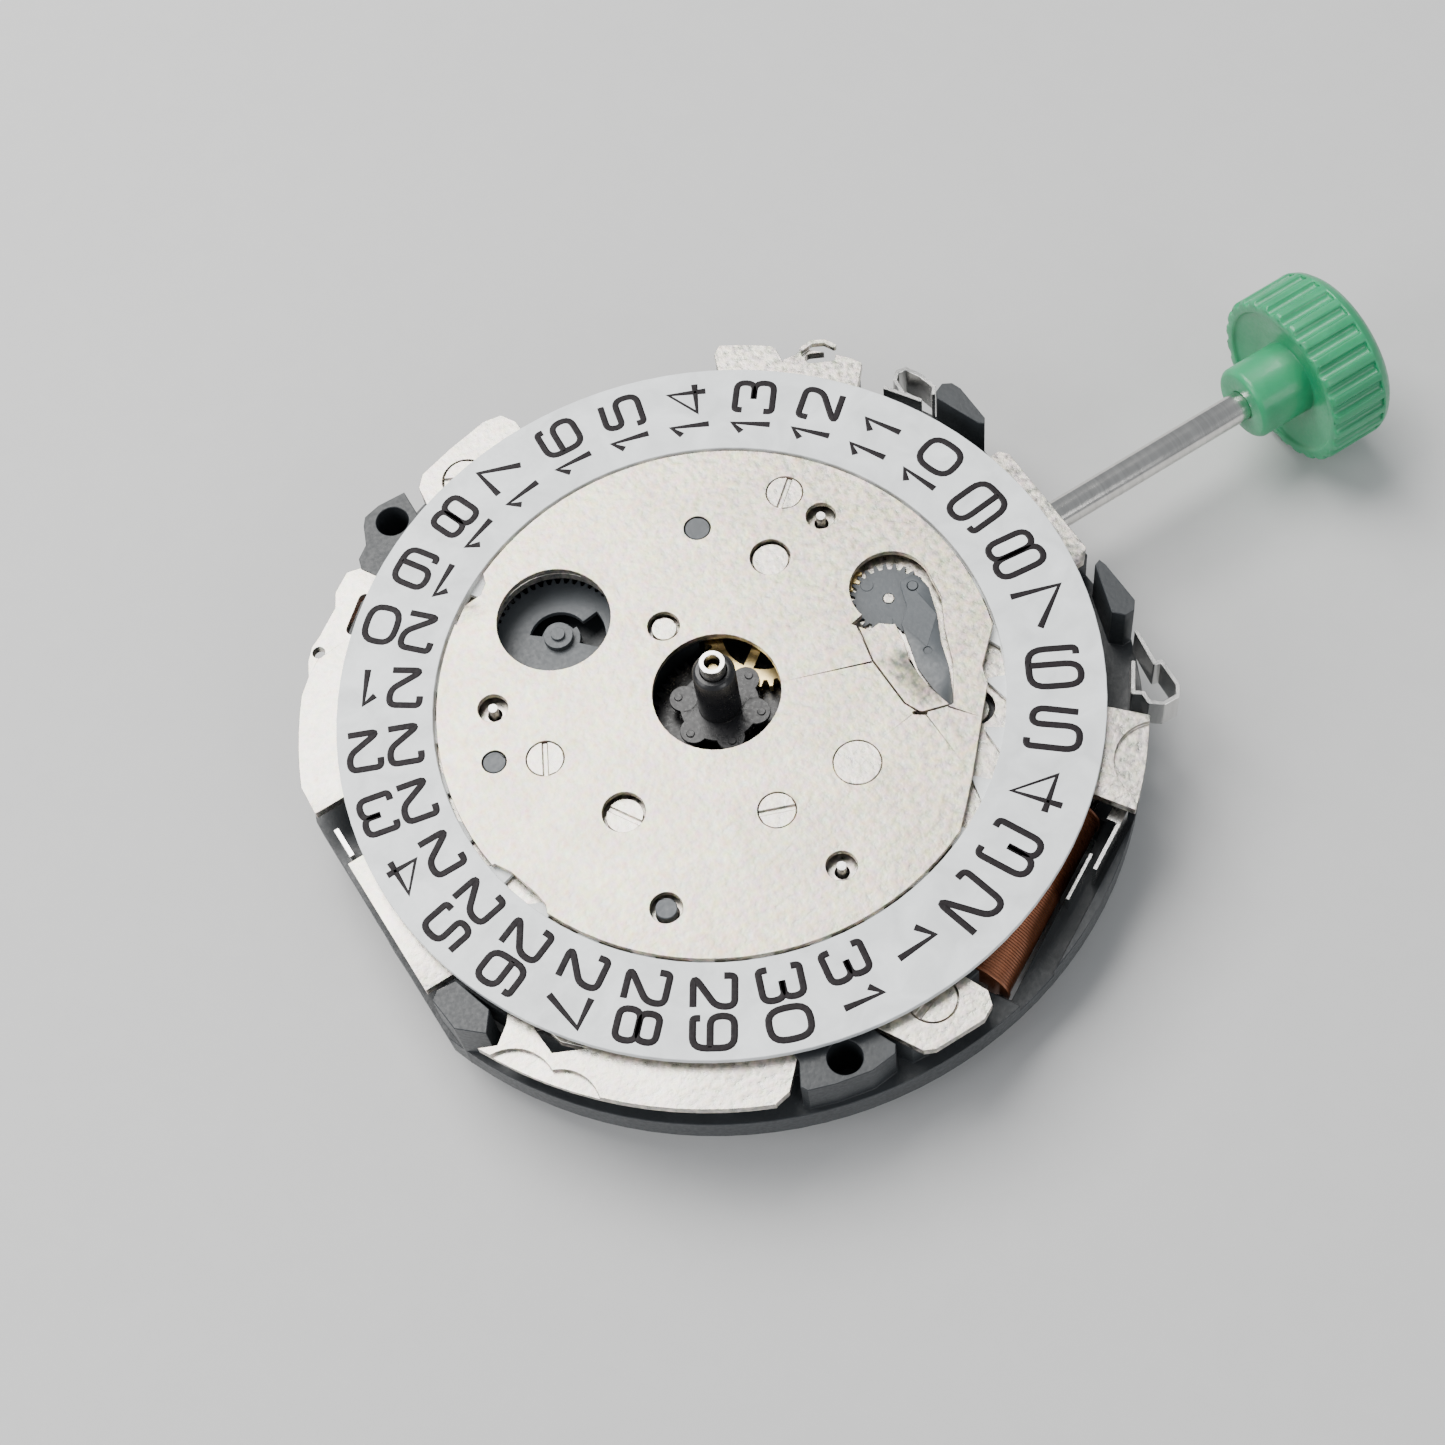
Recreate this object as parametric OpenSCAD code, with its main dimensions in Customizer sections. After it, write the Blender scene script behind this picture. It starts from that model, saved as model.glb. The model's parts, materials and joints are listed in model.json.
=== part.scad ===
// Quartz chronograph movement with calendar, setting stem and holding knob.
// Millimetres. Origin: centre of the flat back face. +Z towards the dial side, +X along the stem.

/* [Case] */
// Radius of the casing flange
flange_r = 11.85; // [11.6:0.05:14.2]
// Radius of the casing below the flange
drum_r = 11.2; // [9.5:0.05:11.5]
// Radius of the casing above the flange
shoulder_r = 10.7; // [10.4:0.05:11.4]
// Distance from the centre to each side flat
flat_x = 11.2; // [11:0.05:13.4]
// Thickness of the casing flange
flange_t = 1.0; // [0.6:0.05:1.3]
// Wall left between a pocket and its wheel
pocket_gap = 0.14; // [0.08:0.01:0.2]

/* [Heights] */
// Thickness of the rear cover
cover_t = 0.2; // [0.15:0.01:0.22]
// Thickness of the circuit board and of the train bridge
board_t = 0.18; // [0.12:0.01:0.2]
// Height of the middle floor between the two gear compartments
floor_z = 2.05; // [2.0:0.01:2.1]
// Thickness of the middle floor
floor_t = 0.3; // [0.25:0.01:0.32]
// Height of the underside of the main plate
plate_z = 3.55; // [3.5:0.01:4.3]
// Thickness of the main plate
plate_t = 0.3; // [0.2:0.01:0.4]
// Space between the main plate and the date plate
calendar_gap = 0.25; // [0.22:0.01:0.4]
// Thickness of the date plate
date_plate_t = 0.2; // [0.12:0.01:0.3]

/* [Date ring] */
// Outer radius of the date ring
ring_r = 10.72; // [10.2:0.02:11.2]
// Inner radius of the printed band
band_r = 8.0; // [7.9:0.02:8.4]
// Radius of the tips of the inward teeth
ring_tip_r = 7.47; // [7.2:0.01:7.6]
// Days on the ring
days = 31; // [31:1:31]

/* [Date plate] */
// Outer radius of the date plate
date_plate_r = 7.9; // [7.6:0.02:7.92]
// Radius of the hole over the hour wheel
centre_hole_r = 1.8; // [1.5:0.05:2.0]
// Radius of the window over the counter train
window_r = 1.63; // [1.3:0.01:1.8]
// Radius of a small-hand well
well_r = 0.43; // [0.35:0.01:0.5]
// Distance of the three small hands from the centre
subdial_r = 6.3; // [6.3:0.01:6.3]

/* [Hand seats] */
// Radius of the hour hand seat
hour_seat_r = 0.6; // [0.56:0.01:0.8]
// Radius of the minute hand seat
minute_seat_r = 0.36; // [0.34:0.01:0.4]
// Radius of the small hand seats
small_seat_r = 0.13; // [0.11:0.01:0.18]
// Height of the top of the hour hand seat
hour_seat_z = 5.65; // [5.2:0.05:5.8]
// Height of the top of the minute hand seat
minute_seat_z = 6.12; // [6.0:0.02:6.6]
// Radial clearance of a wheel on its arbor
turn_gap = 0.02; // [0.01:0.005:0.025]

/* [Setting] */
// Radius of the stem
stem_r = 0.45; // [0.4:0.01:0.54]
// Height of the stem axis
stem_z = 2.85; // [2.83:0.01:2.9]
// Length of the stem from the centre to the end in the knob
stem_end_x = 21.2; // [20:0.1:23]
// Travel of the stem when it is pulled out
stem_travel = 0.8; // [0.5:0.05:0.8]
// Radius of the knob flange
knob_r = 2.67; // [2.2:0.01:2.7]
// Distance from the centre to the hub end of the knob
knob_x = 18.1; // [17:0.05:19]
// Flutes on the knob
knob_flutes = 26; // [20:1:30]

/* [Power] */
// Radius of the button cell
cell_r = 3.4; // [2.8:0.05:3.55]
// Thickness of the button cell
cell_t = 2.1; // [1.6:0.05:2.12]
// Radius of a motor winding
winding_r = 1.0; // [0.8:0.02:1.05]
// Length of the time motor winding
winding_len = 5.6; // [4.6:0.1:5.8]

/* [Hidden] */
$fn = 64;
e = 0.01;

// heights
board_z = cover_t + 0.04;
body_z = board_z + board_t + 0.03;
floor_top = floor_z + floor_t;
flange_z = 1.4;
flange_top = flange_z + flange_t;
plate_top = plate_z + plate_t;
dial_z = plate_top + calendar_gap;
dial_top = dial_z + date_plate_t;
ring_z = plate_top + 0.05;
level_a = 0.62;
level_b = 0.97;
level_v = 1.20;
level_c = 1.42;
wheel_t = 0.15;
cannon_z = floor_top + 0.07;
tube_relief = 0.01;
seat_land_z = hour_seat_z + 0.02;
motion_z = floor_top + 0.10;
motion_t = 0.17;
hour_z = floor_top + 0.40;
hour_t = 0.18;
day_z = hour_z + 0.31;
day_t = 0.34;
cap_z = day_z + day_t + 0.03;
post_z = dial_top - 0.04;
idle_t = 0.14;

// plan positions
function polar(r, a) = [r * cos(a), r * sin(a)];
function heading(p, q) = atan2(q[1] - p[1], q[0] - p[0]);
// Where two circles about p and q meet, on the left of the line from p to q.
function apex(p, rp, q, rq) =
    let (d = norm(q - p), a = (rp * rp + d * d - rq * rq) / (2 * d), h = sqrt(rp * rp - a * a))
    p + polar(a, heading(p, q)) + polar(h, heading(p, q) + 90);

centre = [0, 0];
seconds_at = polar(subdial_r, -90);
day_at = polar(subdial_r, 30);
counter_at = polar(subdial_r, 150);
window_at = [-2.62, 4.62];
cell_at = [-7.0, -2.4];
date_at = [5.65, -0.05];
crank_r = 0.75;

// gears: teeth and modules
m_time = 0.09;
third_z = 60;
third_pinion_z = 8;
m_centre = 0.0925;
centre_z = 64;
m_seconds = 0.07;
seconds_z = 50;
idler_pinion_z = 10;
m_rotor = 0.06;
time_idler_z = 48;
rotor_z = 8;
m_chrono = 0.095;
chrono_z = 60;
chrono_idler_z = 40;
m_counter = norm(counter_at - window_at) * 2 / (8 + 40);
counter_z = 40;
counter_pinion_z = 8;
m_window = 0.0792;
window_z = 48;
m_cannon = 0.1;
cannon_teeth = 12;
minute_z = 36;
m_hour = 0.096;
minute_pinion_z = 10;
hour_teeth = 40;
m_day = 0.1;
hour_day_z = 20;
day_idler_z = 33;
day_teeth = 40;
date_idler_z = 20;
m_date = 0.0875;
date_pinion_z = 12;
date_teeth = 24;
setting_teeth = 28;

function pair(m, z1, z2) = m * (z1 + z2) / 2;
function outer_r(m, z) = m * z / 2 + 0.9 * m;
// Turns the second gear so that a gap of it faces the first gear's tooth.
function mesh(p, q, turn, z1, z2) =
    let (a = heading(p, q))
    a + 180 + ((a - turn) * z1 / 360 + 0.5) * 360 / z2;

third_at = apex(centre, pair(m_centre, third_pinion_z, centre_z), seconds_at, pair(m_time, 8, third_z));
time_coil_a = 29;
time_coil_at = [4.1, -8.85];
coil_off = 2.2;
// the time motor's winding is longer on the side away from the battery
time_shift = -1.3;
time_rotor_at = time_coil_at + polar(coil_off, time_coil_a + 90) + polar(time_shift, time_coil_a);
time_idler_at = apex(seconds_at, pair(m_seconds, seconds_z, idler_pinion_z),
                     time_rotor_at, pair(m_rotor, rotor_z, time_idler_z));
chrono_idler_at = polar(pair(m_chrono, chrono_z, idler_pinion_z), 55);
chrono_rotor_at = chrono_idler_at + polar(pair(m_seconds, chrono_idler_z, rotor_z), 60);
chrono_coil_a = 150;
chrono_coil_at = chrono_rotor_at + polar(coil_off, chrono_coil_a - 90);
counter_rotor_at = window_at + polar(pair(m_window, window_z, rotor_z), 110);
counter_coil_a = 205;
counter_coil_at = counter_rotor_at + polar(coil_off, counter_coil_a - 90);
minute_at = polar(pair(m_cannon, cannon_teeth, minute_z), -60);
day_idler_at = polar(pair(m_day, hour_day_z, day_idler_z), 30);
date_idler_at = apex(day_idler_at, pair(m_day, day_idler_z, date_idler_z),
                     date_at, pair(m_date, date_pinion_z, date_teeth));
setting_at = minute_at + polar(pair(m_cannon, minute_z, setting_teeth), 8);
lever_arm = 1.75;
lever_at = [8.1, -lever_arm];
crank_a = -8;
crank_at = date_at + polar(crank_r, crank_a);

// turns that put every pair in mesh
cannon_turn = 0;
minute_turn = mesh(centre, minute_at, cannon_turn, cannon_teeth, minute_z);
minute_pinion_turn = mesh(centre, minute_at, 0, hour_teeth, minute_pinion_z);
setting_turn = mesh(minute_at, setting_at, minute_turn, minute_z, setting_teeth);
day_idler_turn = mesh(centre, day_idler_at, 0, hour_day_z, day_idler_z);
day_turn = mesh(day_idler_at, day_at, day_idler_turn, day_idler_z, day_teeth);
date_idler_turn = mesh(day_idler_at, date_idler_at, day_idler_turn, day_idler_z, date_idler_z);
date_turn = mesh(date_idler_at, date_at, 0, date_pinion_z, date_teeth);
third_turn = mesh(seconds_at, third_at, 0, 8, third_z);
centre_turn = mesh(third_at, centre, 0, third_pinion_z, centre_z);
seconds_turn = mesh(time_idler_at, seconds_at, 0, idler_pinion_z, seconds_z);
time_idler_turn = mesh(time_rotor_at, time_idler_at, 0, rotor_z, time_idler_z);
chrono_turn = mesh(chrono_idler_at, centre, 0, idler_pinion_z, chrono_z);
chrono_idler_turn = mesh(chrono_rotor_at, chrono_idler_at, 0, rotor_z, chrono_idler_z);
window_turn = mesh(counter_rotor_at, window_at, 0, rotor_z, window_z);
counter_turn = mesh(window_at, counter_at, 0, counter_pinion_z, counter_z);

// shared shapes
module at(p, z = 0) { translate([p[0], p[1], z]) children(); }
module disc(r, z0, z1) { translate([0, 0, z0]) cylinder(r = r, h = z1 - z0); }
module tube(r, bore, z0, z1) {
    difference() {
        disc(r, z0, z1);
        disc(bore, z0 - e, z1 + e);
    }
}
module slab(z0, z1) { translate([0, 0, z0]) linear_extrude(z1 - z0) children(); }
// A straight bar with round ends.
module bar(p, q, w) {
    translate(p) rotate(heading(p, q)) translate([0, -w / 2]) square([norm(q - p), w]);
    translate(p) circle(r = w / 2);
    translate(q) circle(r = w / 2);
}
// A strip that follows a list of points.
module strip(path, w) {
    for (i = [0 : len(path) - 2]) bar(path[i], path[i + 1], w);
}
// width scales the teeth across, for a wheel that has to slip in and out of mesh.
module gear2d(m, z, turn, width = 1) {
    tip = outer_r(m, z);
    root = m * z / 2 - 1.15 * m;
    polygon([for (i = [0 : z - 1], k = [[root, -0.33], [tip, -0.12], [tip, 0.12], [root, 0.33]])
        polar(k[0], turn + (i + k[1] * width) * 360 / z)]);
}
module gear(m, z, turn, z0, z1, width = 1) { slab(z0, z1) gear2d(m, z, turn, width); }
// An arbor from body0 to body1 with a thinner pivot out to z0 and z1.
module arbor(r, z0, body0, body1, z1) {
    disc(r, body0, body1);
    disc(pivot_r, z0, body0 + e);
    disc(pivot_r, body1 - e, z1);
}
rear_body_z = board_z + board_t + 0.02;
floor_body_z = floor_z - 0.02;
front_body_z = floor_top + 0.02;
plate_body_z = plate_z - 0.02;
rear_top_z = floor_z + 0.24;
front_low_z = floor_z + 0.04;
front_top_z = plate_top - 0.06;
pivot_r = 0.08;
pivot_hole_r = pivot_r + turn_gap;
module spokes(n, r0, r1, w, turn = 0) {
    difference() {
        circle(r = r1);
        circle(r = r0);
        for (i = [0 : n - 1]) rotate(turn + i * 360 / n) translate([0, -w / 2]) square([r1 + 1, w]);
    }
}
module slot_screw(r, z0, head_t, slot_a, slot_w = 0.14) {
    difference() {
        disc(r, z0, z0 + head_t);
        translate([0, 0, z0 + head_t]) rotate(slot_a) cube([2 * r + 1, slot_w, 0.16], center = true);
    }
}

// Motor frame: x along the winding, y outwards, the rotor at the origin.
short_winding = 4.8;
// each motor: place of the rotor, turn, length of the winding, its shift along x
function motor_list() = [[time_rotor_at, time_coil_a + 180, winding_len, time_shift],
    [chrono_rotor_at, chrono_coil_a - 180, short_winding, 0],
    [counter_rotor_at, counter_coil_a - 180, short_winding, 0]];
motors = motor_list();
module motor(at_p, a) { translate([at_p[0], at_p[1], 0]) rotate(a) children(); }
core_z = 1.75;
core_t = floor_z - core_z;
core_w = 0.8;
coil_z = core_z + core_t / 2;
stator_t = 0.3;
stator_z = core_z - stator_t;
magnet_r = 0.5;
stator_r = 1.08;
tab_w = 0.9;
tab_gap = 0.25;
function tab_x(len) = len / 2 + tab_gap;
// The winding's centre lies shift mm along x from the rotor.
module motor_outline(len, shift, grow = 0) {
    tx = tab_x(len);
    circle(r = stator_r + grow);
    translate([shift - tx - tab_w - grow, -0.5 - grow]) square([2 * (tx + tab_w + grow), 1 + 2 * grow]);
    for (s = [-1, 1]) translate([shift + s * (tx + tab_w / 2) - tab_w / 2 - grow, 0])
        square([tab_w + 2 * grow, coil_off + 0.6 + grow]);
}
module winding_outline(len, shift, grow) {
    translate([shift - len / 2 - grow, coil_off - winding_r - grow])
        square([len + 2 * grow, 2 * (winding_r + grow)]);
}
module core_outline(len, shift, grow = 0) {
    tx = tab_x(len);
    translate([shift - tx - tab_w - grow, coil_off - core_w / 2 - grow])
        square([2 * (tx + tab_w + grow), core_w + 2 * grow]);
    for (s = [-1, 1]) translate([shift + s * (tx + tab_w / 2), coil_off]) circle(r = 0.6 + grow);
}
module stator(len, shift) {
    tx = tab_x(len) + tab_w / 2;
    slab(stator_z, core_z) difference() {
        motor_outline(len, shift);
        circle(r = magnet_r + 0.12);
        for (s = [-1, 1]) translate([shift + s * tx, coil_off]) circle(r = 0.24);
        for (s = [-1, 1]) rotate(s * 90 + 20) translate([0.9, 0]) square([0.3, 0.08], center = true);
    }
}
module core(len, shift) {
    tx = tab_x(len) + tab_w / 2;
    slab(core_z, core_z + core_t) difference() {
        core_outline(len, shift);
        for (s = [-1, 1]) translate([shift + s * tx, coil_off]) circle(r = 0.24);
    }
}
module core_screws(len, shift) {
    tx = tab_x(len) + tab_w / 2;
    for (s = [-1, 1]) translate([shift + s * tx, coil_off, 0]) {
        disc(0.22, stator_z - 0.02, core_z + core_t + 0.2);
        translate([0, 0, stator_z]) rotate([180, 0, 0]) slot_screw(0.42, 0, 0.2, 35);
    }
}
module winding(len, shift) {
    translate([shift - len / 2, coil_off, coil_z]) rotate([0, 90, 0]) difference() {
        cylinder(r = winding_r, h = len);
        translate([0, 0, -e]) cylinder(r = core_w / 2 + 0.05, h = len + 2 * e);
    }
    for (s = [-1, 1]) translate([shift + s * (len / 2 + 0.04), coil_off, coil_z]) rotate([0, 90, 0])
        difference() {
            cylinder(r = winding_r + 0.05, h = 0.08, center = true);
            cylinder(r = core_w / 2 + 0.05, h = 1, center = true);
        }
}
module rotor(pinion_z, body_top, top_z, m) {
    arbor(0.12, board_z, rear_body_z, body_top, top_z);
    disc(magnet_r, stator_z + 0.02, stator_z + 0.42);
    gear(m, rotor_z, 0, pinion_z, pinion_z + 0.2);
}

// Outlines of the main plate's tabs and of the casing's lugs.
tab_right = [[9.5, -2.1], [10.9, -2.1], [11.2, -1.8], [11.2, 2.0], [11.0, 2.25], [9.5, 2.25]];
tab_one = [[5.0, 8.2], [5.8, 9.35], [6.0, 9.9], [6.35, 10.12], [6.9, 9.85], [7.5, 9.35], [7.62, 9.0],
    [7.55, 8.5], [6.5, 7.5]];
tab_lug = [[7.0, 8.0], [7.6, 8.55], [8.0, 8.5], [8.5, 8.62], [8.9, 8.42], [9.12, 8.1], [9.15, 7.75],
    [9.45, 7.1], [9.05, 6.65], [8.0, 5.6]];
tab_three = [[8.0, -5.5], [8.85, -6.35], [9.55, -7.1], [9.6, -7.25], [9.42, -7.5], [9.3, -8.05],
    [9.05, -8.5], [8.3, -8.65], [8.0, -9.08], [7.55, -9.2], [6.9, -8.2], [6.0, -7.3]];
tab_four = [[-2.0, -9.8], [-1.6, -10.6], [-1.0, -11.7], [-0.7, -11.84], [0.8, -11.86], [1.2, -11.65],
    [1.33, -11.25], [1.05, -10.6], [0.9, -9.8]];
tab_top = [[-3.6, 9.4], [-3.7, 10.3], [-3.62, 10.95], [-3.3, 11.3], [-2.2, 11.6], [-0.9, 11.85],
    [-0.35, 11.75], [-0.1, 11.3], [-0.1, 9.8]];
tab_left = [[-9.5, -4.6], [-9.75, -4.95], [-10.25, -5.35], [-10.8, -5.1], [-12, -6.0], [-11, -9],
    [-8, -12], [-5.3, -11.2], [-4.95, -10.78], [-4.5, -10.7], [-3.8, -10.0], [-3.2, -8.5], [-7.5, -4.5]];
tab_high = [[-11.15, 3.35], [-11.1, 4.3], [-10.8, 5.3], [-10.0, 6.6], [-9.3, 7.25], [-8.95, 7.95],
    [-8.4, 8.25], [-7.6, 8.8], [-7.35, 9.25], [-6.75, 9.65], [-6.35, 9.55], [-6.0, 9.05], [-5.0, 8.0],
    [-8.5, 3.35]];
lobe_low = [[-3.9, -9.6], [-3.85, -10.15], [-4.2, -10.75], [-4.1, -10.95], [-3.4, -11.2], [-2.4, -11.42],
    [-1.65, -11.36], [-1.5, -11.15], [-1.72, -10.65], [-1.85, -9.8]];
lobe_high = [[-5.9, 8.7], [-6.35, 9.5], [-6.25, 9.85], [-5.85, 10.15], [-5.6, 10.75], [-5.42, 11.0],
    [-4.9, 11.12], [-4.05, 11.08], [-4.08, 10.3], [-4.2, 9.4]];
foot_low = [-2.8, -10.72];
foot_high = [-4.82, 10.4];
foot_r = 0.48;
foot_low_z = flange_z + 0.2;
foot_high_z = flange_z + 0.35;
post_a = [[10.45, 4.62], [10.55, 4.82], [10.85, 4.95], [11.1, 4.8], [11.2, 4.5], [11.2, 3.25],
    [11.08, 3.08], [10.95, 3.2]];
post_b = [[10.95, -2.55], [11.15, -2.48], [11.2, -2.7], [11.2, -4.1], [11.0, -4.35], [10.7, -4.35],
    [10.45, -4.05]];
post_c = [[-11.1, -3.45], [-10.85, -3.25], [-10.3, -3.3], [-9.95, -4.5], [-10.35, -5.05], [-11.0, -4.45]];
screw_four = [0.0, -10.62];
screw_top = [-2.33, 10.4];
screw_seat_r = 0.7;
clamp_seats = [[8.95, -8.4, 1.25], [-10.6, -6.7, 1.22], [-9.8, -7.8, 1.12]];
clamp_seat_z = plate_z + 0.14;
seat_ledge_z = plate_z + 0.09;

// ---- sub-parts ----
module flat_sided() {
    intersection() {
        children();
        translate([-flat_x, -20, -1]) cube([2 * flat_x, 40, 12]);
    }
}

module rear_pockets() {
    z0 = body_z - e;
    for (w = [[centre, outer_r(m_centre, centre_z)], [seconds_at, outer_r(m_seconds, seconds_z)],
              [third_at, outer_r(m_time, third_z)], [time_idler_at, outer_r(m_rotor, time_idler_z)],
              [chrono_idler_at, outer_r(m_seconds, chrono_idler_z)]])
        at(w[0]) disc(w[1] + pocket_gap, z0, floor_z);
    at(cell_at) disc(cell_r + 0.1, z0, cell_roof_z);
    for (m = motors) motor(m[0], m[1]) motor_pocket(m[2], m[3]);
    at(chip_at) translate([-1.25, -1.25, z0]) cube([2.5, 2.5, 0.85]);
    translate([quartz_at[0], quartz_at[1], z0]) rotate(quartz_a) translate([-2.6, -0.75, 0])
        cube([5.0, 1.5, 2 * quartz_r + 0.1]);
}
module motor_pocket(len, shift) {
    slab(body_z - e, floor_z) motor_outline(len, shift, 0.12);
    slab(body_z - e, floor_z) core_outline(len, shift, 0.12);
    slab(body_z - e, coil_z + winding_r + 0.1) winding_outline(len, shift, 0.15);
    for (s = [-1, 1]) translate([shift + s * (tab_x(len) + tab_w / 2), coil_off])
        disc(0.24, floor_z - e, floor_z + 0.25);
}
cell_roof_z = cell_t + 0.1;
chip_at = [8.0, -2.7];
chip_w = 2.1;
quartz_at = [7.7, 1.6];
quartz_a = 100;
quartz_r = 0.6;

module front_pockets() {
    z1 = plate_z + e;
    for (w = [[centre, outer_r(m_hour, hour_teeth)], [minute_at, outer_r(m_cannon, minute_z)],
              [day_idler_at, outer_r(m_day, day_idler_z)], [day_at, outer_r(m_day, day_teeth)],
              [date_idler_at, outer_r(m_day, date_idler_z)], [counter_at, outer_r(m_counter, counter_z)],
              [window_at, outer_r(m_window, window_z)], [counter_rotor_at, 0.75]])
        at(w[0]) disc(w[1] + pocket_gap, floor_top, z1);
    // room for the setting wheel as the yoke carries it to the pinion
    for (a = [0 : 4.5 : 9]) at(minute_at) rotate(a) at(setting_at - minute_at)
        rotate(77) disc(outer_r(m_cannon, setting_teeth) + pocket_gap, floor_top, z1);
    slab(stem_z + stem_r - 0.05, z1) polygon([[6.0, -3.6], [9.7, -3.3], [9.9, -0.9], [8.9, 0.75],
        [7.4, 0.75], [6.6, -0.4]]);
    at(lever_at) disc(0.75, stem_z, z1);
    slab(stem_z - 0.3, z1) polygon([[7.4, -0.4], [9.3, -0.4], [9.3, 0.5], [7.4, 0.5]]);
}

module stem_bores() {
    translate([0, 0, stem_z]) rotate([0, 90, 0]) {
        translate([0, 0, 4.0]) cylinder(r = stem_r + 0.03, h = 12);
        translate([0, 0, pinion_x - 0.3]) cylinder(r = pinion_r + 0.12, h = pinion_len + 0.5);
    }
}
pinion_x = 5.7;
pinion_len = 1.35;
pinion_r = 0.6;

module body_pivots() {
    for (p = [seconds_at, day_at, counter_at, day_idler_at, minute_at, third_at,
              time_idler_at, chrono_idler_at, time_rotor_at, chrono_rotor_at])
        at(p) disc(pivot_hole_r, floor_z - e, floor_top + e);
    at(centre) disc(centre_post_r + turn_gap + 0.01, floor_z - e, floor_top + e);
    at(seconds_at) disc(small_seat_r + 0.05, floor_z - e, plate_z + e);
    at(counter_rotor_at) disc(0.45, floor_z - e, floor_top + e);
    at(foot_low) disc(foot_r, foot_low_z, dial_top);
    at(foot_high) disc(foot_r, foot_high_z, dial_top);
}
centre_post_r = 0.2;

module module_body() color("#26292c") {
    difference() {
        flat_sided() union() {
            disc(drum_r, body_z, flange_z + e);
            disc(flange_r, flange_z, flange_top);
            disc(shoulder_r, flange_top - e, plate_z);
            slab(flange_top - e, plate_z) for (t = [tab_one, tab_lug, tab_three, tab_four, tab_top])
                intersection() {
                    polygon(t);
                    circle(r = flange_r - 0.4);
                }
            // wall around the stem
            slab(flange_top - e, plate_z) translate([9, -1.9]) square([flat_x - 9, 3.9]);
            for (p = [post_a, post_b, post_c]) slab(flange_z, dial_top - 0.1) polygon(p);
            slab(flange_z, plate_top + 0.02) polygon(lobe_low);
            slab(flange_z, plate_top) polygon(lobe_high);
        }
        rear_pockets();
        front_pockets();
        stem_bores();
        body_pivots();
        for (p = plate_screws_at) at(p) disc(0.3, plate_z - 0.32, plate_z + 1);
        for (p = [screw_four, screw_top]) at(p) disc(0.3, plate_z - 0.55, plate_z + 1);
        for (p = cover_screws) at(p) disc(0.27, 0, body_z + 0.85);
        at(strap_foot) disc(0.22, 0, body_z + 0.85);
        slab(floor_top + 0.55, plate_z + e) polygon([[3.6, -2.0], [4.6, -3.1], [6.7, -3.0], [6.8, -1.2],
            [5.5, -0.2]]);
        // the time motor's winding shows at the edge, between two tabs
        motor(time_rotor_at, time_coil_a + 180) slab(floor_z, plate_z + 1)
            translate([time_shift - winding_len / 2 - 0.7, coil_off - winding_r - 0.15])
            square([winding_len + 1.0, 3]);
    }
    // plastic pin under the counter idler
    at(window_at) disc(window_pin_r, floor_top - e, floor_top + 0.7);
}
window_pin_r = 0.17;

module main_plate() color("#cfccc2") {
    difference() {
        flat_sided() slab(plate_z, plate_top) {
            circle(r = 10.45);
            for (t = [tab_right, tab_one, tab_lug, tab_three, tab_four, tab_top, tab_left, tab_high])
                intersection() {
                    polygon(t);
                    circle(r = flange_r + 0.05);
                }
            // straight tab on the left flat
            translate([-11.1, -2.95]) square([1.5, 4.45]);
        }
        slab(plate_z - e, plate_top + e) {
            circle(r = centre_hole_r + 0.3);
            translate(window_at) circle(r = window_r + 0.12);
            for (p = [seconds_at, counter_at, day_at]) translate(p) circle(r = small_seat_r + 0.07);
            for (p = [day_idler_at, minute_at, counter_rotor_at]) translate(p) circle(r = pivot_hole_r);
            translate(date_idler_at) circle(r = 0.14 + turn_gap);
            bar([8.3, 8.12], [8.8, 7.85], 0.34);
            bar([-7.5, 7.9], [-6.75, 8.55], 0.36);
            translate([-8.68, 7.78]) circle(r = 0.18);
            translate([5.75, -4.2]) circle(r = 0.55);
            polygon([[-9.2, -5.45], [-8.95, -5.6], [-8.8, -6.2], [-8.3, -6.75], [-9.15, -6.35]]);
            polygon([[4.4, -0.9], [4.9, -1.2], [5.1, -2.0], [4.9, -3.4], [4.6, -3.0]]);
            for (p = [lobe_low, lobe_high, post_a, post_b, post_c]) polygon(p);
            for (p = [screw_four, screw_top]) translate(p) circle(r = 0.3);
            for (p = plate_screws_at) translate(p) circle(r = 0.3);
            for (p = pegs_at) translate([p[0], p[1]]) circle(r = p[2] + 0.02);
        }
        // coined seats for the casing clamps
        for (p = clamp_seats) at(p) disc(p[2], clamp_seat_z, plate_top + e);
        for (p = [screw_four, screw_top]) at(p) disc(screw_seat_r, seat_ledge_z, plate_top + e);
    }
    // posts of the date wheel and of the jumper
    at(date_at) disc(0.15, plate_top - e, plate_top + date_t + 0.01);
    at(jumper_at) disc(0.3, plate_top - e, plate_top + 0.2);
    // curled lip of the lug
    slab(plate_top - e, plate_top + 0.18) strip([[8.2, 8.46], [8.55, 8.5], [8.9, 8.3], [9.05, 8.0]], 0.14);
}
plate_screws_at = [[5.02, 4.4], [-0.55, -3.95], [-5.02, 0.97], [-4.05, -1.65]];
slot_turns = [40, -22, 62, -60];
screw_r = 0.52;
posts_at = [[3.53, 2.83], [2.03, -3.98], [-0.15, 2.65]];
posts_r = [0.52, 0.66, 0.36];
pegs_at = [[2.32, 4.83, 0.36], [-6.25, 1.68, 0.32], [-4.55, -4.7, 0.3]];
jumper_at = polar(6.3, 205);

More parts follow.
